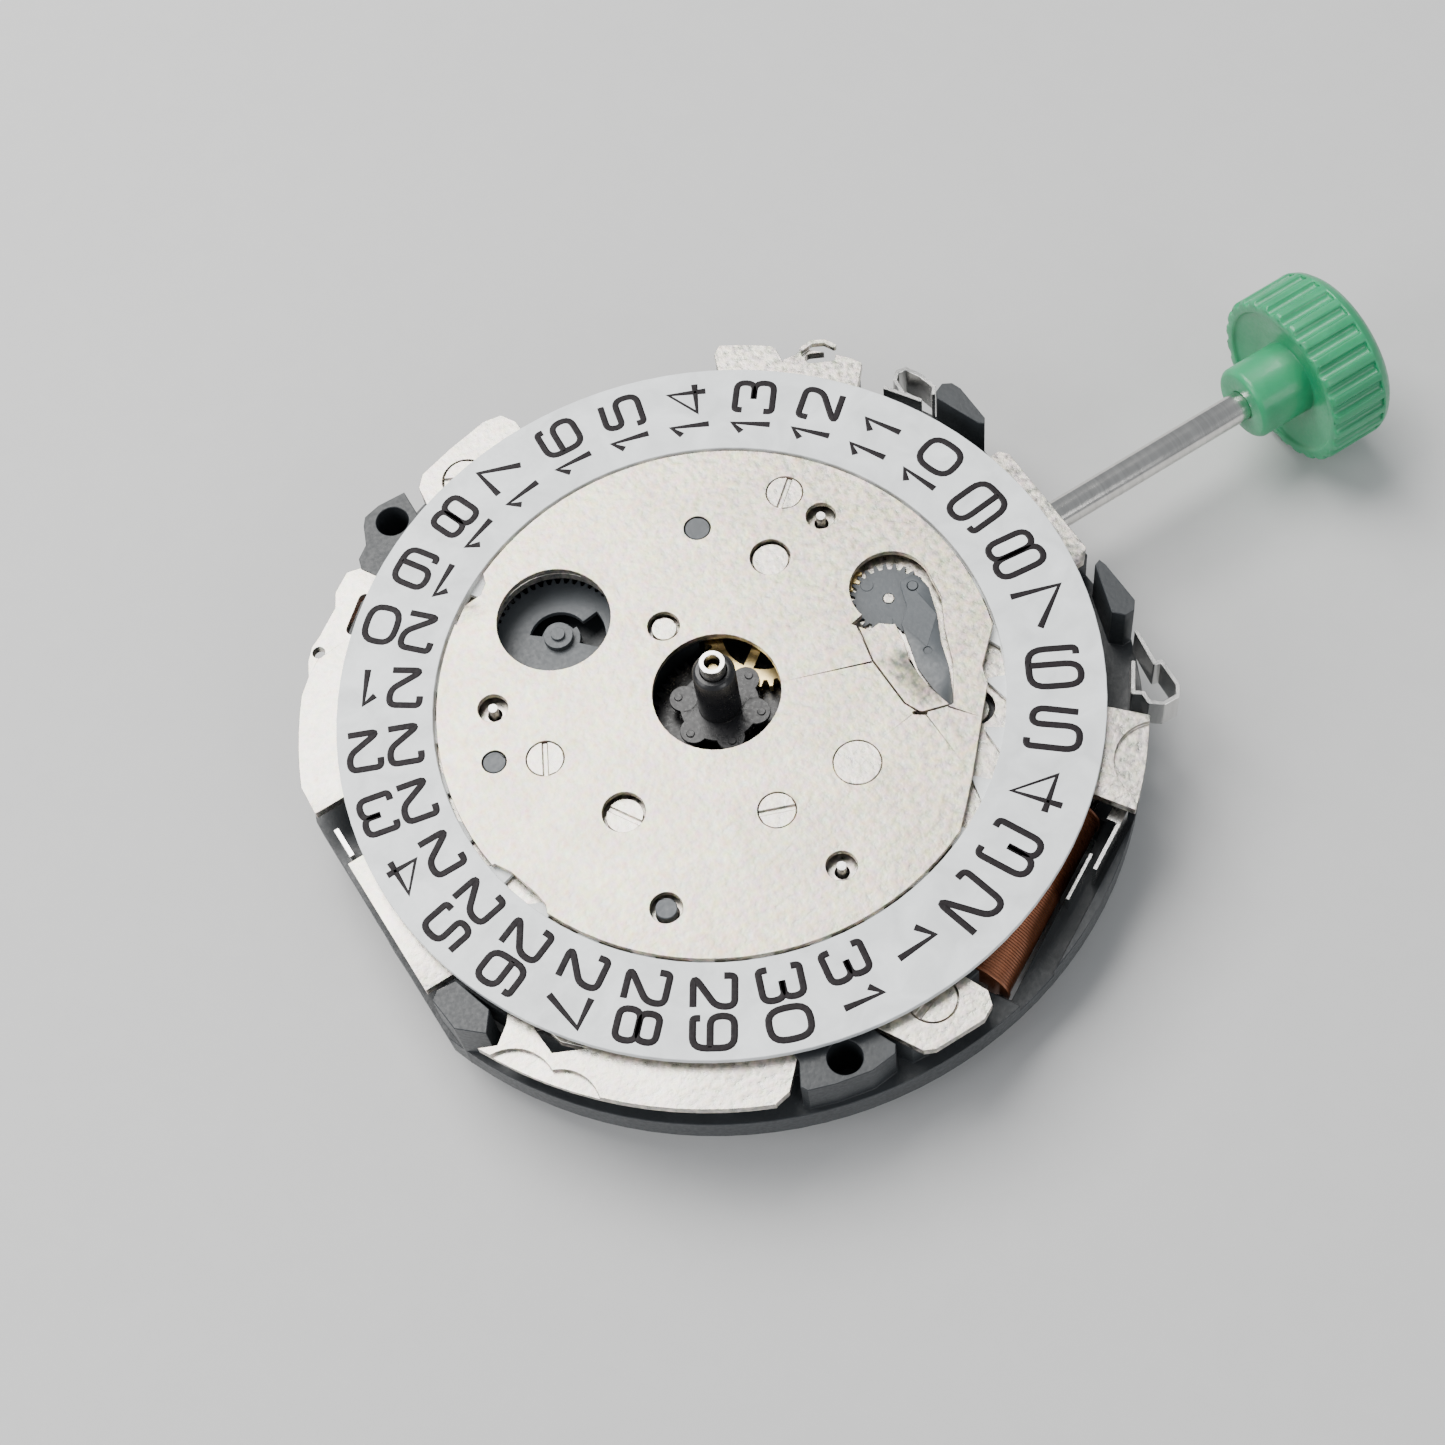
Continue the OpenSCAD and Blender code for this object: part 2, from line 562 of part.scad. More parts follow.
module date_plate_outline() {
    difference() {
        circle(r = date_plate_r);
        translate([0, 0.05]) circle(r = centre_hole_r);
        translate(window_at) circle(r = window_r);
        // lower right chord, where the ring's teeth show
        polygon([[8.2, -1.9], [7.75, -2.3], [7.15, -2.85], [6.5, -3.45], [6.3, -4.0], [5.6, -4.75],
                 [4.4, -6.05], [3.7, -6.75], [2.9, -7.5], [8.2, -7.5]]);
        polygon([[-5.2, 6.4], [-5.0, 6.05], [-4.5, 6.45], [-3.95, 6.5], [-3.65, 6.75], [-3.5, 7.2],
                 [-3.9, 7.8], [-5.8, 7.2]]);
        polygon([[-8.3, -0.9], [-7.75, -1.0], [-7.5, -1.45], [-7.25, -2.35], [-7.2, -2.8], [-7.4, -3.3],
                 [-8.3, -3.5]]);
        // keyhole over the date wheel and its finger
        translate([5.8, 0.05]) circle(r = 1.17);
        polygon([[6.95, -0.1], [6.8, -1.0], [6.3, -1.9], [5.9, -2.9], [5.2, -3.95], [5.1, -3.95],
                 [4.92, -3.1], [4.92, -2.2], [5.15, -1.6], [5.25, -1.0], [5.8, 0]]);
        polygon([[4.25, -0.3], [4.75, -0.2], [4.95, -0.7], [4.55, -0.75]]);
        // cut line of the spring tongue
        strip([[4.35, -0.45], [4.1, -1.6], [4.1, -3.2], [4.3, -3.7], [5.05, -3.93]], 0.05);
        bar([4.15, -3.6], [4.4, -3.78], 0.1);
        for (p = [seconds_at, counter_at, day_at]) translate(p) circle(r = well_r);
        for (i = [0 : 2]) translate(plate_screws_at[i]) circle(r = screw_r + 0.02);
        translate(plate_screws_at[3]) circle(r = 0.6);
        translate(posts_at[0]) circle(r = 0.58);
        translate(posts_at[1]) circle(r = posts_r[1] + 0.02);
        translate(posts_at[2]) circle(r = 0.46);
        for (i = [0, 1]) translate([pegs_at[i][0], pegs_at[i][1]]) circle(r = pegs_at[i][2] + 0.03);
        translate([pegs_at[2][0], pegs_at[2][1]]) circle(r = 0.45);
    }
}
module date_plate() color("#d3cfc2") slab(dial_z, dial_top) date_plate_outline();

module date_plate_screws() color("#c8c6c0") {
    for (i = [0 : 3]) at(plate_screws_at[i]) {
        sunk = i == 3 ? 0.25 : 0.02;
        slot_screw(screw_r, dial_z - sunk, date_plate_t, slot_turns[i]);
        disc(0.28, plate_z - 0.28, dial_z - sunk + e);
    }
}
module main_plate_screws() color("#c9c8c2") {
    for (p = [[screw_four, 20], [screw_top, -30]]) at(p[0]) {
        slot_screw(0.66, seat_ledge_z, plate_top - seat_ledge_z - 0.01, p[1], 0.18);
        disc(0.28, plate_z - 0.5, seat_ledge_z + e);
    }
}
module plate_posts() color("#c9c6bd") {
    for (i = [0 : 2]) at(posts_at[i]) {
        low = i == 1 ? 0 : 0.16;
        disc(posts_r[i], plate_top, dial_top - low);
    }
    at([5.75, -4.2]) disc(0.4, plate_z, plate_z + 0.15);
}
module locating_pegs() color("#55595c") {
    for (p = pegs_at) at(p) disc(p[2], plate_z, dial_top - 0.03);
}

ring_tooth_t = 0.16;
module date_ring() color("#dfe5e8") {
    tube(ring_r, band_r, dial_z - 0.02, dial_top);
    tube(band_r + 0.35, band_r, ring_z, dial_z);
    tube(band_r + 0.1, band_r - 0.02, ring_z, ring_z + ring_tooth_t);
    slab(ring_z, ring_z + ring_tooth_t) for (i = [0 : days - 1]) rotate(-32.1 + i * 360 / days)
        polygon([
            polar(band_r + 0.05, -3.2), polar(ring_tip_r, 1.3),
            polar(ring_tip_r, 2.1), polar(band_r + 0.05, 2.5)]);
}
module date_jumper() color("#4a4e51") {
    beak = polar(ring_tip_r - 0.09, 226);
    mid = polar(6.75, 214);
    at([0, 0]) slab(plate_top + 0.03, plate_top + 0.2) difference() {
        union() {
            translate(jumper_at) circle(r = 0.6);
            bar(jumper_at, mid, 0.5);
            polygon([mid + polar(0.25, 124), beak, mid + polar(0.25, -56)]);
        }
        translate(jumper_at) circle(r = 0.3 + turn_gap);
    }
}
date_t = 0.11;
finger_z = plate_top + date_t + 0.04;
finger_t = 0.09;
crank_pin_r = 0.14;
module date_wheel() color("#4b4f53") {
    at(date_at) difference() {
        gear(m_date, date_teeth, date_turn, plate_top + 0.01, plate_top + date_t);
        disc(0.15 + turn_gap, plate_top - e, plate_top + date_t + e);
    }
    at(crank_at) disc(crank_pin_r, plate_top + date_t - e, finger_z + finger_t + 0.03);
    for (a = [112, 232]) at(date_at + polar(crank_r, a))
        disc(0.18, plate_top + date_t - e, plate_top + date_t + 0.02);
}
module date_finger() color("#54585b") {
    difference() {
        slab(finger_z, finger_z + finger_t) polygon([[6.12, 0.06], [6.22, 0.17], [6.58, 0.17],
            [6.7, 0.05], [6.75, -0.45], [6.45, -1.3], [6.05, -2.1], [5.8, -2.85], [5.3, -3.85],
            [5.12, -3.85], [5.05, -3.2], [5.05, -2.4], [5.25, -1.75], [5.45, -1.0], [5.9, -0.6]]);
        at(crank_at) disc(crank_pin_r + turn_gap, finger_z - e, finger_z + 1);
        at([5.6, -2.1]) disc(0.12, finger_z + 0.05, finger_z + 1);
    }
}
module date_idler() color("#b9a46a") at(date_idler_at) {
    disc(0.14, day_z + 0.18, plate_top + date_t);
    gear(m_day, date_idler_z, date_idler_turn, day_z + 0.2, day_z + day_t);
    gear(m_date, date_pinion_z, 0, plate_top + 0.01, plate_top + date_t);
}

module hour_wheel() color("#1f2123") {
    difference() {
        union() {
            gear(m_hour, hour_teeth, 0, hour_z, hour_z + hour_t);
            gear(m_day, hour_day_z, 0, day_z, day_z + day_t);
            disc(0.85, hour_z, day_z + e);
            disc(0.9, day_z, cap_z + e);
            disc(hour_seat_r, hour_z, hour_seat_z - 0.1);
            translate([0, 0, hour_seat_z - 0.1]) cylinder(r1 = hour_seat_r, r2 = hour_seat_r - 0.1, h = 0.1);
            disc(1.12, cap_z, cap_z + 0.12);
            for (i = [0 : 5]) rotate(15 + 60 * i) {
                translate([1.05, 0, cap_z]) cylinder(r = 0.4, h = 0.12);
                translate([1.2, 0, cap_z + 0.12 - e]) cylinder(r = 0.11, h = 0.05);
            }
        }
        disc(minute_seat_r + turn_gap, hour_z - e, hour_seat_z + e);
    }
}
module cannon_pinion() color("#b9b7b0") {
    difference() {
        union() {
            gear(m_cannon, cannon_teeth, cannon_turn, cannon_z, cannon_z + 0.26);
            // the stretch inside the hour tube is relieved by a slight taper, up to the seat itself
            translate([0, 0, cannon_z])
                cylinder(r1 = minute_seat_r - tube_relief, r2 = minute_seat_r, h = seat_land_z - cannon_z);
            disc(minute_seat_r, seat_land_z, minute_seat_z);
        }
        disc(centre_post_r + turn_gap, cannon_z - e, minute_seat_z + e);
    }
}
module minute_wheel() color("#c2a45c") at(minute_at) {
    slab(motion_z, motion_z + motion_t) difference() {
        gear2d(m_cannon, minute_z, minute_turn);
        spokes(4, 0.6, 1.35, 0.3);
    }
    gear(m_hour, minute_pinion_z, minute_pinion_turn, motion_z + motion_t - e, hour_z + hour_t + 0.02);
    arbor(0.13, front_low_z, front_body_z, plate_body_z, front_top_z);
}
module day_idler() color("#c2a45c") at(day_idler_at) {
    slab(day_z, day_z + day_t) difference() {
        gear2d(m_day, day_idler_z, day_idler_turn);
        spokes(5, 0.5, 1.2, 0.28);
    }
    arbor(0.13, front_low_z, front_body_z, plate_body_z, front_top_z);
}
module day_wheel() color("#c2a45c") at(day_at) {
    gear(m_day, day_teeth, day_turn, day_z, day_z + 0.14);
    disc(pivot_r, front_low_z, front_body_z + e);
    disc(small_seat_r, front_body_z, post_z + 0.03);
}
module setting_wheel() color("#b9b7b0") at(setting_at) {
    difference() {
        gear(m_cannon, setting_teeth, setting_turn, motion_z, motion_z + motion_t, 0.72);
        disc(0.14, motion_z - e, motion_z + 1);
    }
}
module yoke() color("#bdbcb6") {
    z0 = floor_top + 0.62;
    slab(z0, z0 + 0.12) difference() {
        union() {
            translate(minute_at) circle(r = 0.42);
            bar(minute_at, setting_at, 0.5);
            bar(setting_at, setting_at + polar(2.0, -25), 0.36);
        }
        translate(minute_at) circle(r = 0.13 + turn_gap);
    }
    at(setting_at) disc(0.12, motion_z - 0.03, z0 + e);
    at(setting_at) disc(0.2, motion_z + motion_t + 0.02, z0 + e);
}
module setting_pinion() color("#b3b1aa") translate([0, 0, stem_z]) rotate([0, 90, 0]) {
    difference() {
        union() {
            translate([0, 0, pinion_x + 0.14]) cylinder(r = pinion_r, h = pinion_len - 0.14);
            for (i = [0 : 11]) rotate(i * 30) translate([0.36, -0.06, pinion_x]) cube([0.22, 0.12, 0.2]);
        }
        translate([0, 0, pinion_x + 0.75]) difference() {
            cylinder(r = 1, h = 0.25);
            translate([0, 0, -e]) cylinder(r = 0.45, h = 0.3);
        }
        translate([0, 0, 5]) cube([square_w + 0.04, square_w + 0.04, 6], center = true);
        translate([0, 0, 6]) cube([square_w + 0.04, square_w + 0.04, 6], center = true);
    }
}
square_w = 0.5;
groove_x = 8.1;
module setting_stem() color("#b5b5b2") translate([0, 0, stem_z]) rotate([0, 90, 0]) {
    translate([0, 0, 4.35]) cylinder(r = 0.14, h = 0.9);
    translate([0, 0, 5.2]) translate([-square_w / 2, -square_w / 2, 0]) cube([square_w, square_w, 2.1]);
    translate([0, 0, 7.28]) cylinder(r = 0.25, h = 0.1);
    translate([0, 0, 7.36]) cylinder(r = stem_r, h = groove_x - 0.24 - 7.36);
    translate([0, 0, groove_x - 0.25]) cylinder(r = 0.25, h = 0.5);
    translate([0, 0, groove_x + 0.24]) cylinder(r = stem_r, h = stem_end_x - groove_x - 0.24);
}
hub_r = 1.13;
hub_len = 1.4;
dish = 0.35;
rim_x = knob_x + hub_len;
rim_len = 1.8;
cap_h = 0.6;
cap_x = rim_x + rim_len;
flute_r = 0.2;
module setting_knob() color("#2f9c68") translate([0, 0, stem_z]) rotate([0, 90, 0]) difference() {
    rotate_extrude($fn = 96) polygon([[stem_r, knob_x], [hub_r - 0.1, knob_x], [hub_r, knob_x + 0.12],
        [hub_r, rim_x + dish], [knob_r - 0.42, rim_x + 0.12], [knob_r - 0.36, rim_x], [knob_r - 0.08, rim_x],
        [knob_r, rim_x + 0.1], [knob_r, cap_x - 0.05], [knob_r - 0.07, cap_x + 0.12],
        [knob_r - 0.25, cap_x + 0.3], [knob_r - 0.6, cap_x + 0.45], [knob_r - 1.3, cap_x + cap_h - 0.04],
        [0, cap_x + cap_h], [0, stem_end_x], [stem_r, stem_end_x]]);
    for (i = [0 : knob_flutes - 1]) rotate((i + 0.5) * 360 / knob_flutes)
        translate([knob_r + 0.06, 0, rim_x - 0.1]) cylinder(r = flute_r, h = rim_len, $fn = 24);
}
module setting_lever() color("#bdbcb6") {
    z0 = stem_z + stem_r + 0.08;
    slab(z0, z0 + 0.14) difference() {
        union() {
            translate(lever_at) circle(r = 0.55);
            bar(lever_at, [groove_x, 0], 0.5);
            bar(lever_at, lever_at + polar(1.2, 200), 0.4);
        }
        translate(lever_at) circle(r = 0.22);
    }
    at([groove_x, 0]) disc(0.14, stem_z + 0.28, z0 + e);
}

module centre_wheel() color("#c2a45c") {
    slab(level_c, level_c + wheel_t) difference() {
        gear2d(m_centre, centre_z, centre_turn);
        spokes(5, 0.7, 2.3, 0.4);
        circle(r = chrono_arbor_r + turn_gap);
    }
    tube(centre_post_r, chrono_arbor_r + turn_gap, level_c, hour_z + hour_t);
}
chrono_arbor_r = 0.13;
module third_wheel() color("#c2a45c") at(third_at) {
    slab(level_b, level_b + wheel_t) difference() {
        gear2d(m_time, third_z, third_turn);
        spokes(5, 0.6, 2.1, 0.4, 20);
    }
    gear(m_centre, third_pinion_z, 0, level_c - 0.06, level_c + 0.2);
    arbor(0.14, board_z, rear_body_z, floor_body_z, rear_top_z);
}
module small_seconds_wheel() color("#c2a45c") at(seconds_at) {
    slab(level_a, level_a + wheel_t) difference() {
        gear2d(m_seconds, seconds_z, seconds_turn);
        spokes(4, 0.5, 1.35, 0.3);
    }
    gear(m_time, 8, 0, level_b - 0.05, level_b + 0.2);
    disc(pivot_r, board_z, rear_body_z + e);
    disc(small_seat_r, rear_body_z, post_z + 0.03);
}
module time_idler() color("#c2a45c") at(time_idler_at) {
    gear(m_rotor, time_idler_z, time_idler_turn, level_v, level_v + wheel_t);
    gear(m_seconds, idler_pinion_z, 0, level_a - 0.05, level_a + 0.2);
    arbor(0.12, board_z, rear_body_z, floor_body_z, rear_top_z);
}
module time_rotor() color("#6d6f72") at(time_rotor_at)
    rotor(level_v - 0.03, floor_body_z, rear_top_z, m_rotor);
module chrono_seconds_wheel() color("#c2a45c") {
    slab(level_a, level_a + wheel_t) difference() {
        gear2d(m_chrono, chrono_z, chrono_turn);
        spokes(5, 0.7, 2.2, 0.4, 36);
    }
    disc(pivot_r, board_z, rear_body_z + e);
    disc(chrono_arbor_r, rear_body_z, minute_seat_z - 0.35);
}
module chrono_idler() color("#c2a45c") at(chrono_idler_at) {
    gear(m_seconds, chrono_idler_z, chrono_idler_turn, level_b, level_b + wheel_t);
    gear(m_chrono, idler_pinion_z, 0, level_a - 0.05, level_a + 0.2);
    arbor(0.12, board_z, rear_body_z, floor_body_z, rear_top_z);
}
module chrono_rotor() color("#6d6f72") at(chrono_rotor_at)
    rotor(level_b - 0.03, floor_body_z, rear_top_z, m_seconds);
module counter_wheel() color("#c2a45c") at(counter_at) {
    slab(floor_top + 0.23, floor_top + 0.38) difference() {
        gear2d(m_counter, counter_z, counter_turn);
        spokes(5, 0.6, 2.1, 0.4);
    }
    disc(pivot_r, front_low_z, front_body_z + e);
    disc(small_seat_r, front_body_z, post_z + 0.03);
}
module counter_idler() color("#6a6e71") at(window_at) {
    difference() {
        union() {
            gear(m_window, window_z, window_turn, floor_top + 0.62, floor_top + 0.8);
            gear(m_counter, counter_pinion_z, 0, floor_top + 0.12, floor_top + 0.64);
            disc(0.42, floor_top + 0.62, floor_top + 1.0);
            disc(0.2, floor_top + 0.9, floor_top + 1.1);
        }
        disc(0.17 + turn_gap, floor_top, floor_top + 0.75);
        // long arc opening of the moulded disc, wider at one end
        slab(floor_top + 0.5, floor_top + 0.9) {
            sector(0.5, 0.86, 5, 138);
            sector(0.62, 1.36, -48, 6);
        }
    }
}
// A ring sector from angle a0 to a1.
module sector(r0, r1, a0, a1) {
    steps = 12;
    polygon(concat([for (i = [0 : steps]) polar(r0, a0 + (a1 - a0) * i / steps)],
                   [for (i = [steps : -1 : 0]) polar(r1, a0 + (a1 - a0) * i / steps)]));
}
module counter_rotor() color("#6d6f72") at(counter_rotor_at) {
    rotor(floor_top + 0.62, plate_body_z, front_top_z, m_window);
}
module stator_of(m) { motor(m[0], m[1]) stator(m[2], m[3]); }
module core_of(m) { motor(m[0], m[1]) core(m[2], m[3]); }
module winding_of(m) { motor(m[0], m[1]) winding(m[2], m[3]); }
module time_stator() color("#8d8a80") stator_of(motors[0]);
module time_core() color("#9a978c") core_of(motors[0]);
module time_winding() color("#7a3d1f") winding_of(motors[0]);
module chrono_stator() color("#8d8a80") stator_of(motors[1]);
module chrono_core() color("#9a978c") core_of(motors[1]);
module chrono_winding() color("#7a3d1f") winding_of(motors[1]);
module counter_stator() color("#8d8a80") stator_of(motors[2]);
module counter_core() color("#9a978c") core_of(motors[2]);
module counter_winding() color("#7a3d1f") winding_of(motors[2]);
module coil_screws() color("#c8c6c0") for (m = motors) motor(m[0], m[1]) core_screws(m[2], m[3]);

bridge_pivots = [centre, seconds_at, third_at, time_idler_at, time_rotor_at, chrono_idler_at,
                 chrono_rotor_at, counter_rotor_at];
module bridge_outline(grow = 0) {
    bar(centre, seconds_at, 2.6 + 2 * grow);
    bar(seconds_at, time_idler_at, 2.0 + 2 * grow);
    bar(time_idler_at, time_rotor_at, 1.8 + 2 * grow);
    bar(centre, chrono_rotor_at, 2.0 + 2 * grow);
    translate(chrono_rotor_at) circle(r = 1.25 + grow);
    bar(chrono_rotor_at, [0.2, 7.2], 1.6 + 2 * grow);
    bar([0.2, 7.2], counter_rotor_at, 1.8 + 2 * grow);
}
module train_bridge() color("#c4c1b6") {
    slab(board_z - 0.02, board_z + board_t) difference() {
        bridge_outline();
        for (p = bridge_pivots) translate(p) circle(r = pivot_hole_r);
        for (p = bridge_screws) translate(p) circle(r = 0.32);
    }
}
module bridge_rivets() color("#c8c6c0") for (p = bridge_screws) at(p) disc(0.3, board_z - 0.02, body_z);
bridge_screws = [[-0.9, -1.4], [1.2, 6.6], [1.4, -7.3]];

module circuit_board() color("#2b5a45") slab(board_z, board_z + board_t) difference() {
    intersection() {
        circle(r = drum_r - 0.35);
        translate([3.4, -6.0]) square([8, 9.9]);
    }
    bridge_outline(0.12);
    for (p = cover_screws) translate(p) circle(r = 0.35);
}
module controller_chip() color("#17181a") at(chip_at)
    translate([-chip_w / 2, -chip_w / 2, board_z + board_t]) cube([chip_w, chip_w, 0.65]);
module quartz_can() color("#c9c8c2")
    at(quartz_at, board_z + board_t + quartz_r + 0.01) rotate(quartz_a) rotate([0, 90, 0]) {
        translate([0, 0, -2.1]) cylinder(r = quartz_r - 0.04, h = 4.1);
        translate([0, 0, -2.2]) cylinder(r = quartz_r, h = 0.3);
        for (s = [-1, 1]) translate([0, s * 0.25, -2.45]) cylinder(r = 0.07, h = 0.3);
    }
module button_cell() color("#c6c4bd") at(cell_at) {
    tube(cell_r, cell_r - 0.3, 0.1, 0.6);
    disc(cell_r - 0.28, 0.1, 0.6);
    disc(cell_r, 0.6 - e, cell_t - 0.35);
    disc(cell_r - 0.35, cell_t - 0.36, cell_t);
}
strap_foot = cell_at + polar(4.4, -45);
module strap_outline(grow = 0) {
    bar(cell_at + polar(1.6, -45), strap_foot, 1.3 + 2 * grow);
}
module cell_strap() color("#c9b26a") {
    slab(0.01, 0.09) difference() {
        strap_outline();
        translate(cell_at + polar(2.2, -45)) circle(r = 0.3);
        translate(strap_foot) circle(r = 0.2);
    }
    at(strap_foot) rotate([180, 0, 0]) slot_screw(0.42, -0.2, 0.12, 15, 0.1);
    at(strap_foot) disc(0.2, 0.1, body_z + 0.8);
}
module cell_spring() color("#c9b26a") at(cell_at) slab(cell_roof_z - 0.09, cell_roof_z - 0.01)
    bar([-1.8, 0], [1.8, 0.4], 0.7);
cover_screws = [[8.6, 5.8], [9.2, -5.4], [-9.4, 4.6], [-0.9, 9.6], [-1.2, -9.7]];
module rear_cover() color("#bfbdb5") slab(0, cover_t) difference() {
    circle(r = drum_r - 0.15);
    translate(cell_at) circle(r = cell_r + 0.12);
    for (m = motors) translate(m[0]) rotate(m[1]) winding_outline(m[2] - 0.4, m[3], 0.05);
    for (p = cover_screws) translate(p) circle(r = 0.62);
    strap_outline(0.08);
}
module rear_cover_screws() color("#cfcdc6") for (p = cover_screws) at(p) {
    rotate([180, 0, 0]) slot_screw(0.58, -0.2, 0.19, 25);
    disc(0.25, 0.15, body_z + 0.8);
}

lever_t = 0.12;
lever_low_z = flange_top + 0.05;
lever_high_z = plate_z + 0.1;
start_pivot = [9.6, 6.1];
reset_pivot = [9.65, -6.2];
module start_lever() color("#bdbcb6") slab(lever_low_z, lever_high_z) {
    strip([start_pivot, [10.2, 5.15]], lever_t);
    strip([[9.92, 5.6], [9.98, 6.15], [10.2, 6.36], [10.48, 6.3], [10.7, 5.85], [10.8, 5.3], [10.66, 5.12]],
        lever_t);
}
module reset_lever() color("#bdbcb6") slab(lever_low_z, lever_high_z) {
    strip([[10.85, -4.72], [10.68, -5.8], [10.87, -5.86], [10.8, -6.7], [10.6, -6.97], [10.15, -6.95],
        [9.84, -6.7], [9.88, -6.38], reset_pivot], lever_t);
    strip([reset_pivot, [10.2, -5.45]], lever_t);
}
module side_contact() color("#cfcdc6") {
    translate([-10.95, 1.65, flange_top]) cube([0.13, 0.95, plate_top - flange_top]);
    motor(time_rotor_at, time_coil_a + 180) {
        slab(floor_z, contact_top - 0.45) translate([time_shift - 1.6, contact_y - 0.33]) square([1.5, 0.08]);
        slab(floor_z, contact_top) translate([time_shift - 3.05, contact_y]) square([2.0, 0.1]);
        slab(contact_top - 0.1, contact_top)
            translate([time_shift - 3.05, contact_y - 0.3]) square([0.5, 0.35]);
    }
}
contact_y = coil_off + winding_r + 0.6;
contact_top = 3.2;

module_body();
main_plate();
date_plate();
date_plate_screws();
main_plate_screws();
plate_posts();
locating_pegs();
date_ring();
date_jumper();
date_wheel();
date_finger();
date_idler();
hour_wheel();
cannon_pinion();
minute_wheel();
day_idler();
day_wheel();
setting_wheel();
yoke();
setting_pinion();
setting_stem();
setting_knob();
setting_lever();
centre_wheel();
third_wheel();
small_seconds_wheel();
time_idler();
time_rotor();
time_stator();
time_core();
time_winding();
chrono_seconds_wheel();
chrono_idler();
chrono_rotor();
chrono_stator();
chrono_core();
chrono_winding();
counter_wheel();
counter_idler();
counter_rotor();
counter_stator();
counter_core();
counter_winding();
coil_screws();
train_bridge();
bridge_rivets();
circuit_board();
controller_chip();
quartz_can();
button_cell();
cell_strap();
cell_spring();
rear_cover();
rear_cover_screws();
start_lever();
reset_lever();
side_contact();
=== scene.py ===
# %% [markdown]
# # A quartz chronograph movement on its setting stem
# The parts' real shapes come from the CAD frame. Blender adds what CAD leaves out: the soft edges that
# catch the light, the wound wire, the printed numerals and the finishes. The frame could be
# modelled again by hand, but then the fits would drift, so it is loaded and kept as it is.

# %% Load the frame
import json
import math

import bpy
from mathutils import Matrix, Vector


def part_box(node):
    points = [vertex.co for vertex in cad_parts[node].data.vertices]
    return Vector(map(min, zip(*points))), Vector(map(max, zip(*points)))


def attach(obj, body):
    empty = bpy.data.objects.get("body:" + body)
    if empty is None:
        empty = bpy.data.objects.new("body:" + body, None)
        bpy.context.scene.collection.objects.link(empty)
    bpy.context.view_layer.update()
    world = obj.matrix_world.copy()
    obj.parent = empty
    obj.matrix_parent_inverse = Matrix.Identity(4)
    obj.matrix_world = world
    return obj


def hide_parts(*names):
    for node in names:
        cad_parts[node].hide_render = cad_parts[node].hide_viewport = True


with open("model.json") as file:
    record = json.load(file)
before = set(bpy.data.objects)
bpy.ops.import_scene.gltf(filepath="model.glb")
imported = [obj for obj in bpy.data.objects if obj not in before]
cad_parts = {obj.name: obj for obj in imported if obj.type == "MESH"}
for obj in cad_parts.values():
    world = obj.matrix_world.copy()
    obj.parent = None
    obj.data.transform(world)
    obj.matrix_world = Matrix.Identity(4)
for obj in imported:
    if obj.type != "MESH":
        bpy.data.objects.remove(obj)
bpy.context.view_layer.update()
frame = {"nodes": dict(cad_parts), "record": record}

bpy.ops.object.select_all(action="DESELECT")
nodes = frame["nodes"]
body_of_node = {n: b for b, members in frame["record"]["behaviour"]["bodies"].items() for n in members}
MM = 0.001
print(len(nodes), "CAD nodes")


# %% [markdown]
# ## Small helpers
# Operators act on whatever is selected, so each step starts from one selected object. A helper for
# that keeps every later cell short. Selecting by hand in each cell would work too, but it is easy to
# forget one and change the wrong piece.

# %% Selecting and finishing
def only(obj):
    bpy.ops.object.select_all(action="DESELECT")
    obj.select_set(True)
    bpy.context.view_layer.objects.active = obj
    return obj


def apply_modifier(obj, kind, **settings):
    only(obj)
    mod = obj.modifiers.new(kind.lower(), kind)
    for key, value in settings.items():
        setattr(mod, key, value)
    bpy.ops.object.modifier_apply(modifier=mod.name)


def settle(obj):
    """Puts the object's place into its mesh, so that patterns on Object coordinates stay put."""
    only(obj)
    bpy.ops.object.transform_apply(location=True, rotation=True, scale=True)


def dress(obj, material):
    obj.data.materials.clear()
    obj.data.materials.append(material)


# %% [markdown]
# ## Effects that several finishes share
# Blasted nickel, moulded plastic and turned steel all need fine, uneven detail. Each effect is one
# node group with named sockets, so a finish sets its own size and depth. Painting textures would be
# another way, but a procedural pattern stays sharp this close.

# %% A node group with named sockets
SOCKETS = {"f": "NodeSocketFloat", "c": "NodeSocketColor", "v": "NodeSocketVector"}


def new_group(name, ins, outs):
    group = bpy.data.node_groups.new(name, "ShaderNodeTree")
    for label, kind, value in ins:
        socket = group.interface.new_socket(name=label, in_out="INPUT", socket_type=SOCKETS[kind])
        socket.default_value = value
    for label, kind in outs:
        group.interface.new_socket(name=label, in_out="OUTPUT", socket_type=SOCKETS[kind])
    return group, group.nodes.new("NodeGroupInput"), group.nodes.new("NodeGroupOutput")


def add(tree, kind, links=None, **settings):
    """Adds a node, sets its properties, and links or sets the named or numbered inputs."""
    node = tree.nodes.new("ShaderNode" + kind)
    for key, value in settings.items():
        setattr(node, key, value)
    for key, value in (links or {}).items():
        if isinstance(value, bpy.types.NodeSocket):
            tree.links.new(value, node.inputs[key])
        else:
            node.inputs[key].default_value = value
    return node


